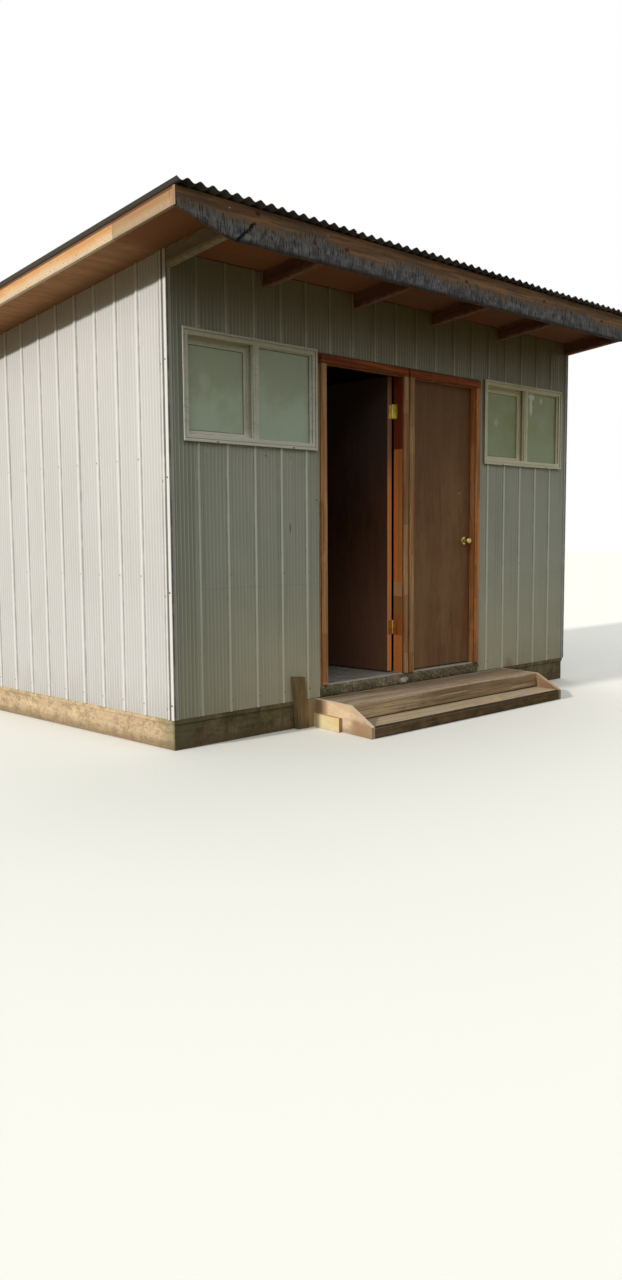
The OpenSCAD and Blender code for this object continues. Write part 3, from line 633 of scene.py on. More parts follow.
body_w, body_d = 3.960, 2.440
corner_x, rafter_w, first_gap, rafter_gap = body_w / 2, 0.044, 0.690, 0.772
rafter_x = [-corner_x + 0.0013 + shift for shift in
            (0, *(first_gap + k * rafter_gap for k in range(4)), body_w - 0.0026 - rafter_w)]
shadow_gap, clear, window_lip = 0.007, 0.002, 0.0197
front_top = under_roof(wall_front) + rafter_high_z - shadow_gap
openings = [(doors_left - clear + corner_x, 0, doors_right + clear + corner_x, head_top + clear)]
for side in ("left", "right"):
    low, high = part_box(f"{side}_window_frame")
    openings.append((low.x + window_lip + corner_x, low.z + window_lip,
                     high.x - window_lip + corner_x, high.z - window_lip))
notches = [(x - clear + corner_x, under_roof(wall_front) - clear,
            x + rafter_w + clear + corner_x, 3) for x in rafter_x]

side_paint = painted_sheet("side_cladding_paint", (0.73, 0.73, 0.74), (0.65, 0.65, 0.65),
                           grime=0.8, creases=0.85, crest_highlight=1.3, lines=1.4, painted_top_light=0.22)
# The front's paint is darker and greener than the sides': painted shade, with a mildew tint
f = front_paint = painted_sheet("front_cladding_paint", (0.60, 0.63, 0.57), (0.47, 0.50, 0.44),
                                grime=1.3, creases=0.7, crest_highlight=1.62, lines=0.6)
# A rust stain at the foot of the sheet to the right of the doors, and a short slit painted
# dark as the shade inside it
f.layer(f.spot(1.21, 0.185, 0.085, 0.062, 0.6), 0.95, 0.2, 0.85, (0.33, 0.13, 0.04))
f.layer(f.spot(-1.09, 1.22, 0.0042, 0.034), 1.1, 0.7, 0.9, (0.05, 0.05, 0.04))
# Painted light and shade make the flutes stand out above the windows and in the first bay
flute = f.mark("flute")
flute_light_zone = f.times(f.slope(f.z, 1.5, 2.1), f.slope(f.z, 2.30, 2.60, 0.1, 1))
flute_light_zone = f.math("MAXIMUM", flute_light_zone, f.slope(f.x, -1.76, -1.80, 0.8))
flute_light_zone = f.times(flute_light_zone, f.slope(f.mark("crest"), 0.15, 0))
f.layer(flute, 0.1, 0.8, 0.55, (0.84, 0.88, 0.76), flute_light_zone)
f.layer(flute, 0.3, 0, 0.32, (0.22, 0.22, 0.17), flute_light_zone)
# Painted shade, brown, where the eave shelters the sheets, a faint cross seam low down,
# painted light, paler and warmer, towards the foot, and a greener tone in the first bays
f.layer(f.z, 2.12, 2.62, 0.82, (0.15, 0.098, 0.014), f.slope(f.x, -1.2, 0.2, 1.05, 0.72))
f.layer(f.away(f.z, 0.88), 0.0035, 0.0008, 0.14, (0.12, 0.11, 0.08))
f.layer(f.z, 1.15, 0.25, 0.4, (0.74, 0.65, 0.45))
f.layer(f.x, -1.40, -1.92, 0.30, (0.24, 0.28, 0.25))

first_rib, first_side_rib, beside_rib, lap_pitch = 0.200, 0.258, 0.018, 4 * rib_pitch
front_laps = [0.793, 1.442, 1.621, 2.449, 3.003, 3.690]
side_laps = first_side_rib + 3 * rib_pitch - 0.016 + lap_pitch * np.arange(2)
front_sheet = pressed_sheet(body_w, first_rib, 0.026, lambda u: np.full_like(u, front_top),
                            (-corner_x, wall_front, 0), (1, 0, 0), (0, -1, 0),
                            openings + notches, front_laps)
piece("front_pressed_sheets", [front_sheet], front_paint, ["front_cladding"])


def side_top(u):
    """Top of the side sheets at a distance u behind the front."""
    y = wall_front + np.clip(u, sheet_t, body_d - sheet_t)
    return under_roof(y) + rafter_high_z - 0.0006


for side, sign in (("left", -1), ("right", 1)):
    sheet = pressed_sheet(body_d, first_side_rib, 0.062, side_top, (sign * corner_x, wall_front, 0),
                          (0, 1, 0), (sign, 0, 0), [], side_laps)
    piece(f"{side}_pressed_sheets", [sheet], side_paint, [f"{side}_cladding"])
back_notches = [(corner_x - x - rafter_w - clear, under_roof(wall_back) - clear,
                 corner_x - x + clear, 3) for x in rafter_x]
back_top = under_roof(wall_back + rib_high) + rafter_high_z - shadow_gap
back_sheet = pressed_sheet(body_w, first_rib, 0.026, lambda u: np.full_like(u, back_top),
                           (corner_x, wall_back, 0), (-1, 0, 0), (0, 1, 0), back_notches,
                           front_laps[0] + lap_pitch * np.arange(4))
piece("back_pressed_sheets", [back_sheet], side_paint, ["back_cladding"])


def turned(profile, centre, axis, sides=6):
    """A turned shape: each pair of the profile is a radius and a distance along the axis from
    the centre, in millimetres, carried round in a circle."""
    axis = np.array(axis, float) / np.linalg.norm(axis)
    side = np.cross(axis, [0.3, 0.2, 0.93])
    side /= np.linalg.norm(side)
    angle = (np.arange(sides) * 2 * math.pi / sides)[:, None]
    spoke = np.cos(angle) * side + np.sin(angle) * np.cross(axis, side)
    radius, rise = np.array(profile).T[:, :, None, None] / 1000
    return shell(np.array(centre, float) + rise * axis + radius * spoke, caps="flat")


SCREW = [(5.6, 0), (5.8, 0.8), (4, 1.2), (4, 3.6), (3.2, 4.4), (1.2, 4.7)]
screw_zinc = f = Finish("screw_zinc", 0.6)
dull = f.noise(55)
f.tone = f.blend(f.slope(dull, 0.4, 0.65), (0.40, 0.39, 0.35), (0.17, 0.12, 0.08))
f.surface(f.slope(dull, 0.3, 0.7, 0.7, 0.4), dull, 0.0004)

front_ribs, side_ribs = 18, 11
ribs_front = -corner_x + first_rib + rib_pitch * np.arange(front_ribs)
ribs_side = wall_front + first_side_rib + rib_pitch * np.arange(side_ribs)
low_row, middle_row, sash_row, top_row = 0.235, 0.955, 1.638, 2.31
front_screws = [(x + beside_rib, z) for z in (low_row, middle_row, top_row) for x in ribs_front
                if z == top_row or not sill_x[0] - 0.02 < x < sill_x[1] + 0.02]
front_screws += [(-0.868, 1.392)] + [(x - corner_x, sash_row) for x in
                                     (0.265, 0.70, 0.898, 2.905, 3.10, 3.52, 3.73)]
heads = [turned(SCREW, (x, wall_front - 0.0002, z), (0, -1, 0)) for x, z in front_screws]
heads += [turned(SCREW, (-x, wall_back + 0.0002, min(z, 2.2)), (0, 1, 0))
          for x in ribs_front + beside_rib for z in (low_row, middle_row, sash_row, top_row)]
heads += [turned(SCREW, (sign * (corner_x + 0.0002), y, z), (sign, 0, 0))
          for sign in (-1, 1) for z in (low_row, middle_row, 1.60) for y in ribs_side + beside_rib]
piece("cladding_screws", heads, screw_zinc, smooth=30, apart=False)


# Corner flashings: strips of the same painted steel folded round the corners and screwed
# through both legs. The side leg has a flat face at the corner, a dark groove, a rolled bead
# and a hem at its edge; the narrow front leg ends in a hem.

def folded_strip(sx, sy):
    """The plan of a corner strip carried up to the deck. Rows are millimetres outwards from
    the side wall and from the front or back wall, then the crest and crease marks: crest
    paints highlights on the flat face and the bead, crease paints shadow at the hems and
    beside the corner on the front leg and darkens the groove. The inner face is the outer
    one moved a sheet's thickness along its normals."""
    plan = np.array([
        (2.2, -66, 0, 1), (4, -65.2, 0, 0.7), (5.2, -62.5, 0.6, 0), (4, -59, 0, 0.6),
        (3.4, -56, 0, 0.6), (3.4, -50, 0.4, 0), (6.6, -46, 1, 0), (8.4, -41.5, 1, 0),
        (6.6, -37, 1, 0), (3.6, -32.5, 0, 1.6), (3, -29.5, 0, 2.4), (3, -22.5, 0, 2.4),
        (4, -19.5, 0, 1.6), (6.4, -16, 0.9, 0), (6.6, -1, 1, 0), (6.4, 5.8, 1, 0),
        (5.8, 6.4, 0.6, 0.3), (-1, 6.2, 0, 1.1), (-7.5, 6, 0, 1.1), (-9.5, 5.8, 0.2, 0),
        (-17, 4, 0.1, 0), (-20.5, 3.4, 0, 0.5), (-23.5, 5.2, 0.5, 0), (-26.5, 5.2, 0.5, 0),
        (-28.5, 4, 0, 0.5), (-29, 2.2, 0, 1)]) * [0.001, 0.001, 1, 1]
    step = np.gradient(plan[:, :2], axis=0)
    inwards = np.stack([-step[:, 1], step[:, 0]], 1) / np.linalg.norm(step, axis=1)[:, None]
    ring = np.concatenate([plan[:, :2], (plan[:, :2] + inwards * sheet_t)[::-1]])
    ring[len(plan)], ring[-1] = ring[len(plan)] * [1, 0.6], ring[-1] * [0.6, 1]
    y = sy * (wall_back + ring[:, 1])
    below_deck = under_roof(np.clip(y, wall_front, wall_back)) + rafter_high_z - 0.001
    crown = np.where(ring[:, 0] > 0.0015, below_deck, under_roof(sy * wall_back) - 0.003)
    foot = cladding_foot - 0.001
    z = foot + np.linspace(0, 1, 9)[:, None] * (crown - foot)
    x = np.broadcast_to(sx * (corner_x + ring[:, 0]), z.shape)
    made = shell(np.stack([x, np.broadcast_to(y, z.shape), z], -1))
    crest, crease = np.concatenate([plan[:, 2:], plan[::-1, 2:]]).T
    made["marks"] = {"crest": np.tile(crest, len(z)), "crease": np.tile(crease, len(z)),
                     "flute": np.full(z.size, 0.4)}
    return made


flashing_paint = painted_sheet("flashing_paint", (0.71, 0.71, 0.70), (0.60, 0.60, 0.59),
                               grime=0.8, creases=1.15, crest_highlight=1.3)
corners = [(sx, sy) for sx in (-1, 1) for sy in (-1, 1)]
piece("folded_corner_strips", [folded_strip(*corner) for corner in corners], flashing_paint,
      ["corner_flashings"], smooth=50)
heads = [turned(SCREW, (sx * (corner_x + out), sy * (wall_back - back), z + up), (sx, 0, 0))
         for sx, sy in corners for z in np.arange(0.23, 2.1, 0.62)
         for out, back, up in ((0.0032, 0.053, 0), (0.0064, 0.008, 0.02))]
piece("flashing_screws", heads, screw_zinc, smooth=30, apart=False)


# Rafters: six sawn pine joists on edge, falling to the back. They pass through the cladding
# and stop behind the fascias. The first one, in the open, has greyed outdoors.

def board_ring(rows_across):
    """Cross section of a board with rounded arrises, walked round from one narrow face. Rows
    are place across, place through, arris steps across and through, and the arris mask."""
    s = 1 - math.sqrt(0.5)
    ring = []
    for a, b in ((0, 0), (1, 0), (1, 1), (0, 1)):
        steps = [(0, 1), (s, s), (1, 0)] if a == b else [(1, 0), (s, s), (0, 1)]
        ring += [(a, b, da * (1 - 2 * a), db * (1 - 2 * b), 1) for da, db in steps]
        if a == b:
            fractions = np.linspace(0, 1, rows_across + 2)[1:-1]
            ring += [(f if a == 0 else 1 - f, b, 0, 0, 0) for f in fractions]
    return np.array(ring, float)


def waviness(grid, size, length, seed):
    """Moves points by five slow sine waves through space, size metres at most."""
    draw = np.random.default_rng(seed)
    shift = np.zeros_like(grid)
    for k in range(5):
        direction = draw.normal(size=3)
        direction *= 2 * math.pi / (np.linalg.norm(direction) * length * 0.6 ** k)
        wave = np.sin(grid @ direction + draw.uniform(0, 6.28))[..., None]
        shift += wave * draw.normal(size=3) * size * 0.45 * 0.6 ** k
    return grid + shift


def board(path, across, through, low, high, t0, t1, arris=0.003, rows_across=3, wave=0.0, seed=1):
    """A board carried along a path. Across and through are unit directions; low, high, t0 and
    t1 say where its faces lie along them, as numbers or one for each station."""
    ring = board_ring(rows_across)
    path = np.asarray(path, float)
    low, high, t0, t1 = (np.broadcast_to(v, len(path))[:, None] for v in (low, high, t0, t1))
    a = low + (high - low) * ring[:, 0] + ring[:, 2] * arris
    b = t0 + (t1 - t0) * ring[:, 1] + ring[:, 3] * arris
    grid = path[:, None] + a[..., None] * np.array(across) + b[..., None] * np.array(through)
    if wave:
        grid = waviness(grid, wave, 0.7, seed)
    return shell(grid, edge=ring[:, 4])


def between(start, end, step):
    """Points on a straight line, about a step apart."""
    start, end = np.array(start, float), np.array(end, float)
    count = max(2, int(np.linalg.norm(end - start) / step) + 1)
    return start + (end - start) * np.linspace(0, 1, count)[:, None]


def down_roof(x, y0, y1, lift, step):
    """Points down the roof's fall, at a lift above the rafters' underside."""
    return between((x, y0, under_roof(y0) + lift), (x, y1, under_roof(y1) + lift), step)


X, Y, UP, DOWN = (1, 0, 0), (0, 1, 0), (0, 0, 1), (0, 0, -1)
eave_front, eave_back = wall_front - 0.478, wall_back + 0.258
joists = [board(down_roof(x, eave_front, eave_back, 0, 0.1), UP, X, 0, rafter_high_z, 0, rafter_w)
          for x in rafter_x]
rafter_pine = timber("rafter_pine", (0.28, 0.13, 0.095), (0.165, 0.07, 0.055), wander=0.4,
                     knots=0.7, worn=(0.36, 0.20, 0.14))
f = greyed_pine = timber("greyed_rafter_pine", (0.50, 0.42, 0.33), (0.30, 0.235, 0.17),
                         wander=0.4, knots=0.7, worn=(0.58, 0.49, 0.37))
f.layer(f.behind, 0, 0.02, 0.9, (0.22, 0.11, 0.075))
piece("end_rafter_joist", joists[:1], greyed_pine, ["rafters"])
piece("rafter_joists", joists[1:], rafter_pine, ["rafters"])
dress(timber("roof_pine", (0.30, 0.18, 0.10), (0.17, 0.09, 0.05), ALONG, wander=0.4),
      "purlins", "eave_blocking")


# Roof deck: bare plywood laid over the rafters, which shows as the soffit. It is darker and
# redder in front, as painted shade, and darker to the right, with painted shade beside the
# side walls and a dark joint every 1.22 m.

f = timber("deck_plywood", (0.62, 0.335, 0.17), (0.46, 0.23, 0.108), ALONG, scale=0.5,
           wander=1.0, knots=0.35, depth=0.0008)
painted_shade_tone = f.blend(f.slope(f.x, -1.5, 0.1, 0.62), (0.35, 0.135, 0.063), (0.15, 0.065, 0.04))
# Painted shade: darker and redder in front
f.layer(f.behind, 0.12, -0.03, 0.85, painted_shade_tone)
# Painted shade beside the side walls
out_x = f.away(f.x)
f.layer(out_x, corner_x + 0.2, corner_x, 0.6, (0.26, 0.125, 0.055),
        f.slope(out_x, corner_x - 0.002, corner_x))
deck_sheet_w = 1.22
joint = f.away(f.math("FRACT", f.math("DIVIDE", f.x, deck_sheet_w)), 0.5)
f.layer(joint, 0.0018, 0, 0.8, (0.05, 0.028, 0.015))
dress(f, "roof_deck")


# Roof sheets: corrugated steel, dark painted, laid side by side with one wave of lap over the
# purlins, screwed through the crests.

sheet_low, sheet_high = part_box("roof_sheets")
wave_pitch, wave_height, roof_t, wave_steps, sheet_count = 0.0762, 0.017, 0.0012, 14, 8
sheet_front, sheet_back, roof_build = -1.765, 1.545, 0.169


def sheet_z(y):
    """Height of the underside of the roof sheets' troughs at y."""
    return under_roof(y) + (roof_build + 0.0003) / math.cos(pitch_angle)


parts = []
width = (sheet_high.x - sheet_low.x) / sheet_count
for k in range(sheet_count):
    x0 = sheet_low.x + k * width
    x1 = min(x0 + width + (wave_pitch if k < sheet_count - 1 else 0), sheet_high.x)
    xs = np.linspace(x0, x1, int((x1 - x0) / wave_pitch * wave_steps) + 1)
    ys = np.linspace(sheet_front + 0.004 * ((k * 7) % 3), sheet_back, 26)[:, None]
    lift = wave_height / 2 * (1 - np.cos(2 * math.pi * xs / wave_pitch)) + 0.0009 * (k % 2)
    low_face = np.stack(np.broadcast_arrays(xs, ys, sheet_z(ys) + lift), -1)
    parts.append(shell(np.concatenate([low_face + [0, 0, roof_t], low_face[:, ::-1]], 1)))

f = Finish("roof_paint", 0.2)
cloud = f.noise(2.6, 6, 0.65)
f.tone = f.blend(f.slope(cloud, 0.35, 0.7), (0.062, 0.060, 0.058), (0.125, 0.112, 0.098))
f.layer(f.noise((30, 0.8, 30)), 0.55, 0.8, 0.5, (0.16, 0.12, 0.09))
f.surface(f.slope(cloud, 0.3, 0.7, 0.6, 0.38), f.noise(120), 0.0004)
piece("corrugated_sheets", parts, f, ["roof_sheets"], smooth=50, apart=False)

ROOF_SCREW = [(10, 0), (10, 1.4), (5.5, 2), (5.5, 6), (1.5, 7.2)]
roof_up = (0, math.sin(pitch_angle), math.cos(pitch_angle))
heads = [turned(ROOF_SCREW, (crest, y, sheet_z(y) + wave_height), roof_up)
         for y in np.linspace(-1.66, 1.44, 5) for crest in np.arange(-29.5, 30, 2.0) * wave_pitch]
piece("roof_screws", heads, screw_zinc, smooth=30, apart=False)


# Fascias: planed pine boards nailed to the rafter ends and along the deck. The front board is
# weathered grey and mouldy below, with slanting cuts at its ends; the side boards are in two
# lengths.

fascia_low, fascia_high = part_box("front_fascia")
fascia_top, fascia_deep, fascia_end, fascia_t, end_cut = fascia_high.z, 0.186, 0.090, 0.022, 0.350
xs = np.linspace(fascia_low.x, fascia_high.x, 90)
from_end = np.minimum(xs - fascia_low.x, fascia_high.x - xs)
depth = np.minimum(fascia_deep, fascia_end + (fascia_deep - fascia_end) * from_end / end_cut)
path = np.stack([xs, np.full_like(xs, fascia_low.y), np.full_like(xs, fascia_top)], 1)
front_board = board(path, DOWN, Y, 0, depth, 0, fascia_t, rows_across=5, wave=0.0008, seed=4)

# Share is 0 at the board's top and 1 at its foot. Weather grows downwards with ragged rims:
# bleached wood, then slate grey, with dashes of mould
f = timber("weathered_fascia", (0.40, 0.24, 0.15), (0.26, 0.14, 0.083), knots=0.9, rough=0.8)
share = f.scaled(f.z, -1 / fascia_deep, fascia_top / fascia_deep)
outer = f.slope(f.y, fascia_low.y + 0.02, fascia_low.y + 0.004)
ragged = f.noise((85, 1, 11), 4, 0.65)
weather = f.scaled(f.noise((2.6, 1, 4), 3, 0.5), 0.9, f.math("SUBTRACT", share, 0.62))
weather = f.scaled(ragged, 0.34, weather)
dashes = f.noise((190, 1, 21), 3, 0.6)
blotch = f.noise((16, 1, 22), 5, 0.7)
warm = f.noise((2.5, 1, 55), 4, 0.65)
f.layer(blotch, 0.46, 0.62, 0.45, (0.24, 0.18, 0.155), outer)
f.layer(warm, 0.50, 0.62, 0.6, (0.62, 0.34, 0.17), outer)
f.layer(warm, 0.46, 0.34, 0.6, (0.17, 0.11, 0.08), outer)
f.layer(weather, 0.26, 0.50, 0.8, (0.28, 0.245, 0.22), outer)
slate = f.blend(f.slope(blotch, 0.36, 0.64), (0.13, 0.135, 0.17), (0.34, 0.335, 0.37))
f.layer(weather, 0.46, 0.62, 0.92, slate, outer)
f.layer(dashes, 0.485, 0.565, 1, (0.035, 0.037, 0.045), f.slope(weather, 0.33, 0.45),
        f.slope(ragged, 0.40, 0.56, 0.95, 0.4), outer)
f.layer(share, 0.86, 0.98, 0.75, (0.04, 0.038, 0.04), outer)
# Reddish knots, and a dark split that runs up from the lower edge near the left end, with a
# pale chip beside it
for x, z in ((0.613, 2.719), (0.209, 2.783), (0.862, 2.729), (1.95, 2.74), (2.83, 2.755),
             (3.6, 2.73)):
    f.layer(f.spot(x - corner_x, z, 0.021, 0.013, 0.35), 1.2, 0.5, 0.9, (0.17, 0.045, 0.03), outer)
split_x, split_z, lean = 0.127 - corner_x, 2.679, 1.08
split = f.away(f.scaled(f.z, -lean, f.x), split_x - lean * split_z)
f.layer(f.scaled(f.noise(45), 0.05, split), 0.041, 0.034, 1, (0.012, 0.010, 0.012),
        f.slope(share, 0.34, 0.46), outer)
f.layer(f.spot(-1.842, 2.656, 0.026, 0.016, 0.8), 1.2, 0.5, 0.75, (0.38, 0.35, 0.33), outer)
f.layer(f.away(f.x), fascia_high.x - 0.0065, fascia_high.x - 0.0045, 0.95, (0.012, 0.009, 0.007))
f.layer(f.away(f.facing("X")), 0.75, 0.9, 1, (0.42, 0.28, 0.18))
piece("front_fascia_board", [front_board], f, ["front_fascia"])

# The side boards: orange above and bleached below, speckled, with a dark line of painted
# shadow under the sheets' overhang. The short front lengths are older and browner, with split ends
f = timber("side_fascia_pine", (0.92, 0.53, 0.24), (0.76, 0.36, 0.13), knots=0.9, rough=0.6,
           worn=(0.80, 0.66, 0.47), soft=(0.40, 0.64))
side_drop = (roof_build - rafter_deep) / math.cos(pitch_angle)
rise = f.scaled(f.y, math.tan(pitch_angle), f.math("SUBTRACT", f.z, under_roof(0) + side_drop))
rise = f.math("DIVIDE", rise, rafter_high_z)
f.layer(f.scaled(f.noise((1, 2.2, 5)), -0.9, rise), 0.20, -0.30, 0.85, (0.88, 0.72, 0.52))
f.layer(f.noise(120, 3, 0.6), 0.56, 0.66, 1, (0.34, 0.27, 0.20),
        f.slope(rise, 0.2, 0.7, 0.1, 0.75))
f.layer(f.behind, 0.0225, 0.0221, 0.62, (0.36, 0.24, 0.15))
f.layer(f.noise((1, 130, 5), 3), 0.56, 0.64, 1, (0.09, 0.05, 0.03),
        f.slope(f.y, eave_front + 0.13, eave_front + 0.03, 0.85))
# Painted shadow of the roof sheets' edge along the top
f.layer(rise, 0.80, 0.88, 0.9, (0.17, 0.065, 0.03))
parts = []
for k, x in enumerate((fascia_low.x, fascia_high.x - fascia_t)):
    for y0, y1 in ((eave_front, wall_front + 0.0218), (wall_front + 0.0228, eave_back)):
        path = down_roof(x, y0, y1, side_drop, 0.12)
        parts.append(board(path, UP, X, 0, rafter_high_z, 0, fascia_t, wave=0.0006, seed=20 + k))
piece("side_fascia_boards", parts, f, ["left_fascia", "right_fascia"])
back_low, back_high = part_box("back_fascia")
path = between((back_low.x, back_low.y, back_high.z), (back_high.x, back_low.y, back_high.z), 0.1)
back_board = board(path, DOWN, Y, 0, fascia_deep, 0, fascia_t, rows_across=5, wave=0.0006,
                   seed=9)
piece("back_fascia_board", [back_board], f, ["back_fascia"])

NAIL = [(3.4, -0.6), (3.6, 0.4), (2.6, 0.8), (0.8, 0.9)]
nails = [turned(NAIL, (x + rafter_w / 2, y, top - drop), (0, facing, 0), 8)
         for x in rafter_x for drop in (0.035, 0.125)
         for y, top, facing in ((fascia_low.y, fascia_top, -1), (back_high.y, back_high.z, 1))]
nails += [turned(NAIL, (x, y, under_roof(y) + side_drop + rise), (sx, 0, 0), 8)
          for sx, x in ((-1, fascia_low.x), (1, fascia_high.x))
          for y in (-1.64, -1.23, -1.17, -0.6, 0.0, 0.6, 1.2, 1.44) for rise in (0.02, 0.065)]
piece("fascia_nails", nails, screw_zinc, smooth=30, apart=False)


# Door frames: finger-jointed pine jambs rebated for the leaves, with a narrow casing strip
# planted on their front, varnished orange. The short lengths glued end to end differ in tone.

def framed(corners, profile, widths=(1, 1, 1, 1), closed=True):
    """A moulding carried round a rectangle in the front plane with mitred corners. Profile
    pairs are a distance inwards, multiplied by the width of each side (left, top, right,
    bottom), and a depth in Y. An open frame has no bottom and stands on its legs' feet."""
    x0, z0, x1, z1 = corners
    u, v = np.array(profile, float).T
    left_w, top_w, right_w, bottom_w = widths
    foot = 1 if closed else 0
    stations = [(x0, left_w, z0, foot * bottom_w), (x0, left_w, z1, -top_w),
                (x1, -right_w, z1, -top_w), (x1, -right_w, z0, foot * bottom_w)]
    grid = np.array([np.stack([x + wx * u, v, z + wz * u], 1) for x, wx, z, wz in stations])
    return shell(grid, caps=None if closed else "flat")


def in_wall(*profile, back=0.0):
    """A moulding's profile in millimetres, set at the wall's front and moved back."""
    return [(u / 1000, wall_front + back + v / 1000) for u, v in profile]


def short_lengths(f, w):
    """Three random numbers for each short length: w counts the lengths."""
    cells = add(f.tree, "TexVoronoi", {"W": w, "Scale": 1.0}, voronoi_dimensions="1D")
    return add(f.tree, "SeparateColor", {0: cells.outputs["Color"]}).outputs


f = joined_pine = Finish("finger_jointed_pine", specular=0.07)
head = f.slope(f.z, head_top - 0.066, head_top - 0.058)
grain_place = add(f.tree, "Mix", {0: head, 4: f.stretched((1, 1, 1), UPRIGHT), 5: f.place},
                  data_type="VECTOR").outputs[1]
grain = f.use(sawn, Place=grain_place, Scale=1.0, Wander=0.2)
across = f.math("FLOOR", f.times(f.x, 13))
through = f.math("FLOOR", f.scaled(f.y, 40, 0.2))
strip = f.scaled(across, 3.7, f.times(through, 1.9))
draw = short_lengths(f, f.scaled(strip, 5.3, f.times(f.z, 3.2)))
lamina = short_lengths(f, f.scaled(f.math("FLOOR", f.times(f.x, 54)), 7.31, f.times(f.z, 1.7)))
lines = f.noise((78, 1, 1.5), 3, 0.6)
f.tone = f.blend(draw["Red"], (0.80, 0.43, 0.205), (0.80, 0.48, 0.245))
for layer in (
        (lamina["Red"], 0.55, 0.75, 0.55, (0.62, 0.47, 0.27)),
        (lamina["Green"], 0.50, 0.75, 0.6, (0.50, 0.20, 0.09)),
        (lines, 0.52, 0.64, 0.7, (0.28, 0.12, 0.045)),
        (lines, 0.48, 0.36, 0.6, (0.95, 0.68, 0.40)),
        (f.x, 0.70, 0.72, 0.5, (1.0, 0.33, 0.075)),
        (f.x, -0.70, -0.72, 0.25, (1.0, 0.55, 0.26)),
        (draw["Green"], 0.80, 0.86, 0.5, (0.48, 0.32, 0.18)),
        (draw["Blue"], 0.82, 0.88, 0.45, (0.42, 0.155, 0.065)),
        (grain["Figure"], 0.42, 0.66, 0.45, (0.26, 0.10, 0.035)),
        (grain["Fibre"], 0.4, 0.75, 0.3, (0.18, 0.075, 0.03))):
    f.layer(*layer)
# The head is redder, with lines along it
reddish = f.blend(f.slope(grain["Figure"], 0.4, 0.64), (0.46, 0.10, 0.012), (0.23, 0.04, 0.004))
lines = f.noise((1.4, 1, 84), 3, 0.6)
reddish = f.blend(f.slope(lines, 0.51, 0.62, 0.7), reddish, (0.10, 0.03, 0.008))
reddish = f.blend(f.slope(lines, 0.47, 0.36, 0.5), reddish, (0.80, 0.22, 0.04))
f.over(reddish, head, 0.93)
# The inner face of the middle jamb: dark red-brown above, then orange, with short blocks
orange = f.blend(f.slope(grain["Figure"], 0.4, 0.66, 0.5), (1.0, 0.38, 0.11), (0.66, 0.20, 0.055))
for z0, z1, block in ((1.745, 2.3, (0.29, 0.038, 0.024)), (0.765, 0.862, (0.80, 0.48, 0.23)),
                      (0.640, 0.765, (0.52, 0.25, 0.088)), (0.50, 0.640, (0.60, 0.20, 0.06))):
    inside = f.band(f.z, z0 - 0.001, z0 + 0.001, z1 - 0.001, z1 + 0.001)
    orange = f.blend(f.times(inside, 0.92), orange, block)
f.over(orange, f.band(f.x, -0.066, -0.063, -0.0485, -0.0475),
       f.slope(f.behind, -0.0095, -0.0085))
# Earth at the feet, and dark lines of painted shade over the head, in the step of the casing
# and between frames
splashed(f, 0.42, 0.3, (0.18, 0.12, 0.075))
f.layer(f.z, head_top - 0.006, head_top - 0.003, 0.9, (0.04, 0.02, 0.01))
f.over((0.15, 0.055, 0.02), f.band(f.behind, -0.0112, -0.0104, -0.0094, -0.0086), 0.8)
f.layer(f.away(f.x), 0.0058, 0.0026, 0.9, (0.03, 0.018, 0.01))
f.surface(f.slope(grain["Fibre"], 0.2, 0.8, 0.6, 0.42), grain["Height"], 0.0006)
f.shader["Coat Weight"].default_value = 0.02
f.shader["Coat Roughness"].default_value = 0.4

jamb = in_wall((0, 95), (0, 11.5), (1.2, 10.2), (7.8, 10), (8, 9.5), (8, 1.8), (9.8, 0), (52.2, 0),
               (54, 1.8), (54, 9.5), (54.5, 10), (60.5, 10.1), (62, 11.6), (62, 46.5), (60.5, 48),
               (50, 48), (50, 95), back=-0.020)
for side in ("left", "right"):
    low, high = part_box(f"{side}_door_frame")
    casing = framed((low.x + 0.0002, low.z, high.x - 0.0002, high.z), jamb, closed=False)
    piece(f"{side}_door_casing", [casing], joined_pine, [f"{side}_door_frame"],
          smooth=30)


# Door leaves: flush doors of plywood on a pine core, stained dark. The core's lipping shows
# as an orange strip on their edges.

def leaf_finish(name, leaf, early, late, patch, painted_top_shade, scuff=None):
    """Stained plywood: upright figure, patches of thin stain, painted shade towards the top,
    pine lipping at the edges.
    """
    low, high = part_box(leaf)
    swung = high.x - low.x < high.y - low.y
    f = timber(name, early, late, UPRIGHT, scale=0.5, wander=0.8, knots=0.0, rough=0.62,
               depth=0.0005, soft=(0.3, 0.72), specular=0.15)
    f.layer(f.noise((3.2, 3.2, 1.1), 5, 0.6), 0.46, 0.66, 0.75, patch)
    # Painted shade: darker towards the top
    f.layer(f.z, 1.2, 2.1, 0.65, painted_top_shade)
    if swung:
        f.layer(f.z, 1.3, 0.5, 0.8, (0.25, 0.125, 0.08))
    f.layer(f.noise((60, 60, 1.1), 4, 0.7), 0.56, 0.8, 0.3, darker(patch, 1.35))
    f.layer(f.noise((190, 190, 6), 3, 0.6), 0.5, 0.75, 0.35, darker(late, 0.5))
    across, first, last = (f.y, low.y, high.y) if swung else (f.x, low.x, high.x)
    core = f.band(across, first + 0.0008, first + 0.0016, last - 0.0016, last - 0.0008)
    pine = f.blend(f.slope(f.z, 1.45, 1.75), (1.0, 0.47, 0.19), (0.52, 0.27, 0.16))
    f.over(pine, f.math("SUBTRACT", 1, core))
    if scuff:
        f.layer(f.spot(*scuff, 0.014, 0.006, 0.4), 1, 0.5, 0.8, (0.62, 0.5, 0.4))
    dress(f, leaf)


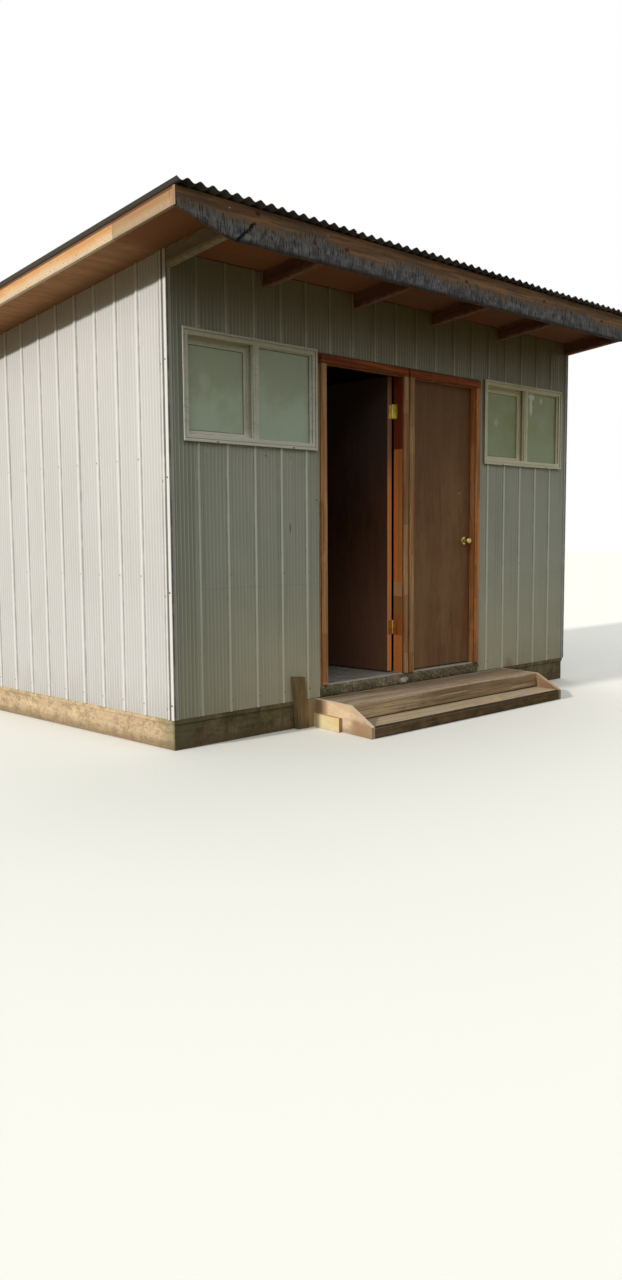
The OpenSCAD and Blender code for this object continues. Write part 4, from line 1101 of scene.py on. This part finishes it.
leaf_finish("left_leaf_stain", "left_door_leaf", (0.15, 0.068, 0.036), (0.085, 0.038, 0.022),
            (0.19, 0.075, 0.04), (0.11, 0.095, 0.095))
leaf_finish("right_leaf_stain", "right_door_leaf", (0.33, 0.165, 0.083), (0.21, 0.10, 0.05),
            (0.34, 0.20, 0.10), (0.20, 0.11, 0.048), (2.60 - corner_x, 1.47))


# Hinges and knobs: pressed brass-plated steel hinges and turned brass knobs on round roses.
# The lower hinges are browner.

f = brass = Finish("worn_brass", 1.0)
smear = f.noise(42, 5, 0.65)
f.tone = f.blend(f.slope(smear, 0.45, 0.7), (0.50, 0.42, 0.14), (0.28, 0.23, 0.08))
f.layer(f.z, 0.8, 0.7, 0.7, (0.42, 0.19, 0.06))
f.surface(f.slope(smear, 0.3, 0.7, 0.45, 0.2), smear, 0.0003)
dress(brass, *(f"{side}_door_{part}" for side in ("left", "right")
               for part in ("hinges", "hinge_flaps", "knobs")))

ball_r, ball_out = 24, 35.2
ball = [(ball_r * math.cos(a), ball_out + ball_r * math.sin(a))
        for a in np.linspace(-math.pi / 2 + 0.62, math.pi / 2 - 0.72, 12)]
KNOB = [(30, 0.2), (30, 2.2), (28.5, 4.2), (24, 5.2), (20, 7.2), (12.5, 8.6), (10.8, 12),
        (10.5, 16.5), *ball, (15.5, 52.4), (14.8, 51.8), (2, 51.8)]
for side, axis in (("left", 0), ("right", 1)):
    low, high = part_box(f"{side}_door_knobs")
    parts = []
    for sign, face in zip((-1, 1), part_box(f"{side}_door_leaf")):
        foot = np.array((low + high) / 2)
        foot[axis] = face[axis]
        parts.append(turned(KNOB, foot, sign * np.eye(3)[axis], sides=40))
    piece(f"{side}_turned_knobs", parts, brass, [f"{side}_door_knobs"],
          body=f"{side}_door", smooth=40, apart=False)


# Windows: cream painted aluminium. An outer frame with a raised rim is glazed on its right
# half; a sash slides behind it on the left. The panes are frosted.

f = cream = Finish("cream_aluminium", specular=0.4)
grime = f.noise(9, 5, 0.65)
f.tone = f.blend(f.slope(grime, 0.42, 0.74, 0.5), (0.90, 0.93, 0.86), (0.68, 0.70, 0.60))
f.layer(f.noise(70, 3), 0.62, 0.78, 0.5, (0.36, 0.31, 0.22))
f.layer(f.noise((20, 20, 90), 3), 0.5, 0.7, 0.25, (0.30, 0.27, 0.20))
# Painted shade: darker in the frame's deeper steps
f.layer(f.behind, -0.0186, -0.0160, 0.2, (0.50, 0.46, 0.34))
f.layer(f.behind, -0.0060, 0.0100, 0.3, (0.46, 0.40, 0.28))
# Paler along the foot, browner at the head as painted shade under the eave, browner on the
# right window, and painted shade on the outer sides where the frame meets the sheets
f.layer(f.z, 1.80, 1.72, 0.75, (1.0, 1.0, 0.95))
f.layer(f.z, 2.18, 2.28, 0.5, (0.60, 0.56, 0.37))
f.layer(f.x, 0.80, 0.84, 0.4, (1.0, 0.90, 0.55))
f.layer(f.away(f.facing("Y")), 0.4, 0.15, 0.9, (0.09, 0.09, 0.07),
        f.slope(f.behind, -0.0088, -0.0094))
f.surface(f.slope(grime, 0.3, 0.7, 0.6, 0.4), f.noise(90), 0.0002)

f = gasket = Finish("black_gasket", specular=0.3)
f.tone = f.blend(f.noise(60), (0.015, 0.015, 0.014), (0.05, 0.048, 0.04))
f.surface(0.7)

# The sash's profile runs over shares of each side's width, which is in millimetres
outer_profile = in_wall((0, -9.5), (0, -18.5), (1.5, -20), (12, -20), (13.5, -18.5), (14, -14),
                        (18, -14), (18.8, -16.2), (20, -17), (36.5, -16.8), (40, -14.5), (40, -9.8),
                        (30, -9.4), (30, 72), (20, 72), (20, -9.5))
bead_profile = in_wall((0, -8.5), (0, 5.5), (16, 5.5), (16, 2), (8, -6), (3, -8.5))
sash_profile = in_wall((0, 22.2), (0, 43.5), (1, 43.5), (1, 26.2), (0.86, 25.2), (0.8, 22.5),
                       (0.56, 22.2), (0.52, 26.2), (0.38, 26.2), (0.34, 22.2))
seal = ((0, 0), (0, 1.6), (2.6, 1.6), (2.6, 0))
post_w, lock_w = 0.046, 0.0232

for side in ("left", "right"):
    low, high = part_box(f"{side}_window_frame")
    sash_low, sash_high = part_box(f"{side}_window_sash")
    post_x, lock_x = low.x + (high.x - low.x - post_w) / 2 + 0.020, sash_high.x - lock_w
    outer = framed((low.x, low.z, high.x, high.z), outer_profile)
    bead = framed((post_x + 0.044, low.z + 0.030, high.x - 0.030, high.z - 0.030), bead_profile,
                  (0.7, 1.0, 1.2, 0.6))
    path = between((post_x, wall_front, low.z + 0.022), (post_x, wall_front, high.z - 0.022), 0.2)
    post = board(path, X, Y, 0, post_w, -0.0138, 0.0055, 0.002, 1)
    lip = board(path, X, Y, 0.016, 0.040, -0.0165, -0.0138, 0.001, 1)
    piece(f"{side}_window_casing", [outer, bead, post, lip], cream,
          [f"{side}_window_frame"], smooth=30)
    # The sash: stiles and rails of different widths, with a step down to the glass
    sash = framed((sash_low.x, sash_low.z, sash_high.x - 0.023, sash_high.z), sash_profile,
                  (21, 50.4, 42, 33.6))
    path = between((lock_x, wall_front, sash_low.z), (lock_x, wall_front, sash_high.z), 0.2)
    meeting = board(path, X, Y, 0, lock_w, 0.0222, 0.0435, 0.001, 1)
    piece(f"{side}_sliding_sash", [sash, meeting], cream,
          [f"{side}_window_sash"], smooth=30)
    # Seals round both panes, and two weep slots in the bottom rail
    sash_hole = (sash_low.x + 0.0212, sash_low.z + 0.0338, post_x - 0.0422, sash_high.z - 0.0506)
    fixed_hole = (post_x + 0.0555, low.z + 0.040, high.x - 0.050, high.z - 0.047)
    seals = [framed(sash_hole, in_wall(*seal, back=0.0283)),
             framed(fixed_hole, in_wall(*seal, back=0.0042))]
    for x in (low.x + 0.227, low.x + 0.81):
        path = between((x, low.y, low.z + 0.006), (x + 0.016, low.y, low.z + 0.006), 0.02)
        weep = board(path, UP, Y, -0.0025, 0.0025, -0.0004, 0.002, 0.0004, 1)
        seals.append({**weep, "marks": {}})
    piece(f"{side}_window_seals", seals, gasket, smooth=30, apart=False)


def frosted(name, window, pale, deep, smudges):
    """Frosted glass: grey-green, cloudy, with pale smudges where it was wiped."""
    f = Finish(name)
    low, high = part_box(window)
    fall = f.slope(f.z, low.z, high.z, -0.22, 0.12)
    f.tone = f.blend(f.slope(f.math("ADD", f.noise(4, 5, 0.6), fall), 0.3, 0.62), deep, pale)
    for x, z, wide, tall, strength in smudges:
        f.layer(f.spot(x, z, wide, tall, 0.4), 1.1, 0.6, strength, (1.0, 1.0, 0.86))
    f.surface(0.55, f.noise(240, 2), 0.0003)
    for key, value in (("Transmission Weight", 0.25), ("IOR", 1.45), ("Coat Weight", 0.25),
                       ("Coat Roughness", 0.15)):
        f.shader[key].default_value = value
    dress(f, window)


frosted("left_frosted_glass", "left_window_glass", (0.71, 0.83, 0.69), (0.56, 0.64, 0.47),
        [(-1.70, 2.02, 0.05, 0.06, 0.22), (-1.64, 1.93, 0.03, 0.09, 0.18)])
frosted("right_frosted_glass", "right_window_glass", (0.43, 0.53, 0.29), (0.36, 0.41, 0.15),
        [(1.487, 2.225, 0.050, 0.032, 0.95), (1.480, 2.150, 0.024, 0.085, 0.95),
         (1.62, 2.20, 0.024, 0.026, 0.5), (1.06, 2.0, 0.03, 0.03, 0.35)])


# Steps: two treads of weathered plank, each behind a board on edge, between thin cheeks, cut
# on a skew at both ends.

step_x, step_skew, step_len, fit = 0.983 - corner_x, 0.100, 2.03, 0.0003
upper_front, step_front, step_back = wall_front - 0.356, wall_front - 0.571, wall_front + 0.001
board_t, tread_t, upper_z, lower_z = 0.028, 0.034, 0.166, 0.067


def step_board(y0, y1, z0, z1, seed, on_edge=False):
    """A plank between the cheeks, whose ends follow the skew: each point's place across
    decides how far along it lies."""
    faces = (UP, Y, z0, z1, y0, y1, 0.004, 5) if on_edge else (Y, UP, y0, y1, z0, z1, 0.004, 7)
    made = board(between((0, 0, 0), X, 0.025), *faces)
    points = made["points"]
    inset = board_t + fit
    length = step_len - 2 * inset
    skewed = step_skew * (points[:, 1] - step_front) / (step_back - step_front)
    made["uv"] = made["uv"] * [length, 1]
    points[:, 0] = step_x + inset + skewed + points[:, 0] * length
    made["points"] = waviness(points, 0.0011, 0.5, seed)
    return made


f = timber("weathered_plank", (0.42, 0.315, 0.22), (0.23, 0.16, 0.105), wander=0.25, knots=0.5,
           rough=0.85, worn=(0.54, 0.43, 0.31), soft=(0.42, 0.58))
# Grey and pinkish patches, short cracks and pale fibres along the grain; the lower tread paler
patch = f.noise((2.2, 7, 1), 5, 0.65)
cracks = f.noise((3.2, 95, 1), 3, 0.5)
f.layer(patch, 0.50, 0.66, 0.55, (0.37, 0.33, 0.28))
f.layer(patch, 0.46, 0.32, 0.5, (0.52, 0.36, 0.26))
f.layer(cracks, 0.60, 0.68, 0.55, (0.13, 0.09, 0.06))
f.layer(cracks, 0.44, 0.34, 0.22, (0.66, 0.54, 0.41))
f.layer(f.z, lower_z + 0.01, lower_z + 0.004, 0.35, (0.62, 0.52, 0.36))
for name, y0, y1, top, seed in (("upper_tread", upper_front, wall_front + 2 * fit, upper_z, 31),
                                ("lower_tread", step_front, upper_front + board_t, lower_z, 33)):
    tread = step_board(y0 + board_t + fit, y1, top - tread_t, top, seed)
    piece(name + "_plank", [tread], f, [name])

# The boards on edge: brown on top, darker to the right, with dark and pale fibres, painted
# shade low on the lower board and a dark line of painted shade where the lower tread meets them
f = timber("edge_plank", (0.90, 0.68, 0.45), (0.60, 0.42, 0.27), wander=0.2, knots=0.4,
           rough=0.85, worn=(0.66, 0.50, 0.34))
upward = f.slope(f.facing("Z"), 0.6, 0.9)
on_face = f.math("SUBTRACT", 1, upward)
f.over(f.blend(f.noise(25), (0.42, 0.31, 0.215), (0.30, 0.215, 0.145)), upward)
blotch = f.noise((9, 9, 14), 5, 0.7)
fibres = f.noise((2.2, 2.2, 85), 3, 0.6)
f.layer(f.scaled(blotch, 0.9, f.x), -0.35, 0.35, 0.7, (0.27, 0.185, 0.115), on_face)
f.layer(blotch, 0.58, 0.70, 0.55, (0.20, 0.115, 0.065))
f.layer(fibres, 0.53, 0.65, 0.65, (0.23, 0.15, 0.09))
f.layer(fibres, 0.47, 0.36, 0.6, (0.88, 0.70, 0.50), on_face)
# Painted shade on the lower board's face
painted_shade_tone = f.blend(f.slope(blotch, 0.4, 0.65), (0.21, 0.13, 0.065), (0.11, 0.07, 0.038))
f.layer(f.y, step_front + 0.04, step_front + 0.03, 0.85, painted_shade_tone,
        f.slope(f.z, lower_z - 0.004, lower_z - 0.012))
# Painted shade where the lower tread meets the boards
f.layer(f.away(f.z, lower_z), 0.009, 0.004, 0.9, (0.03, 0.02, 0.012))
fronts = [step_board(step_front, step_front + board_t, 0, lower_z, 35, True),
          step_board(upper_front, upper_front + board_t, lower_z + fit, upper_z, 36, True)]
piece("step_front_boards", fronts, f, ["step_risers"])


def cut_edges(name, early, late, pale, toe=None, splash_reach=0.0):
    """A timber finish whose sawn edges, all that doesn't face left or right, have a tone of
    their own: painted light on the cheeks and painted shade on the pale plank. The low front
    end, the toe, is darker brown, and the end by the wall is painted brown as shadow."""
    f = timber(name, early, late, ACROSS, wander=0.4, rough=0.8, splash_reach=splash_reach)
    if toe:
        # Painted shadow at the end by the wall
        f.layer(f.behind, -0.16, -0.11, 0.75, (0.33, 0.20, 0.12))
        blotch = f.noise(22)
        f.layer(f.scaled(blotch, 0.12, f.y), step_front + 0.30, step_front + 0.20, 0.85, toe,
                f.slope(f.scaled(blotch, 0.04, f.z), 0.085, 0.13, 0.3, 1))
    # The edges' own tone: painted light on the cheeks, painted shade on the pale plank
    f.layer(f.away(f.facing("X")), 0.8, 0.6, 0.8, pale)
    return f


dress(cut_edges("left_cheek_plank", (0.95, 0.74, 0.52), (0.78, 0.55, 0.34), (0.85, 0.70, 0.58),
                (0.38, 0.235, 0.14), 0.05), "left_cheek")
dress(cut_edges("right_cheek_plank", (0.34, 0.23, 0.145), (0.22, 0.14, 0.085), (0.60, 0.45, 0.33),
                (0.2, 0.12, 0.07), 0.06), "right_cheek")
dress(cut_edges("pale_plank", (1.0, 0.86, 0.52), (0.93, 0.70, 0.37), (0.36, 0.25, 0.15)),
      "side_boards")
dress(timber("stake_wood", (0.40, 0.295, 0.165), (0.235, 0.16, 0.085), UPRIGHT, wander=0.4,
             knots=0.7, rough=0.85, depth=0.0016, splash_reach=0.09), "stake")


bpy.context.scene.view_settings.view_transform = "Standard"
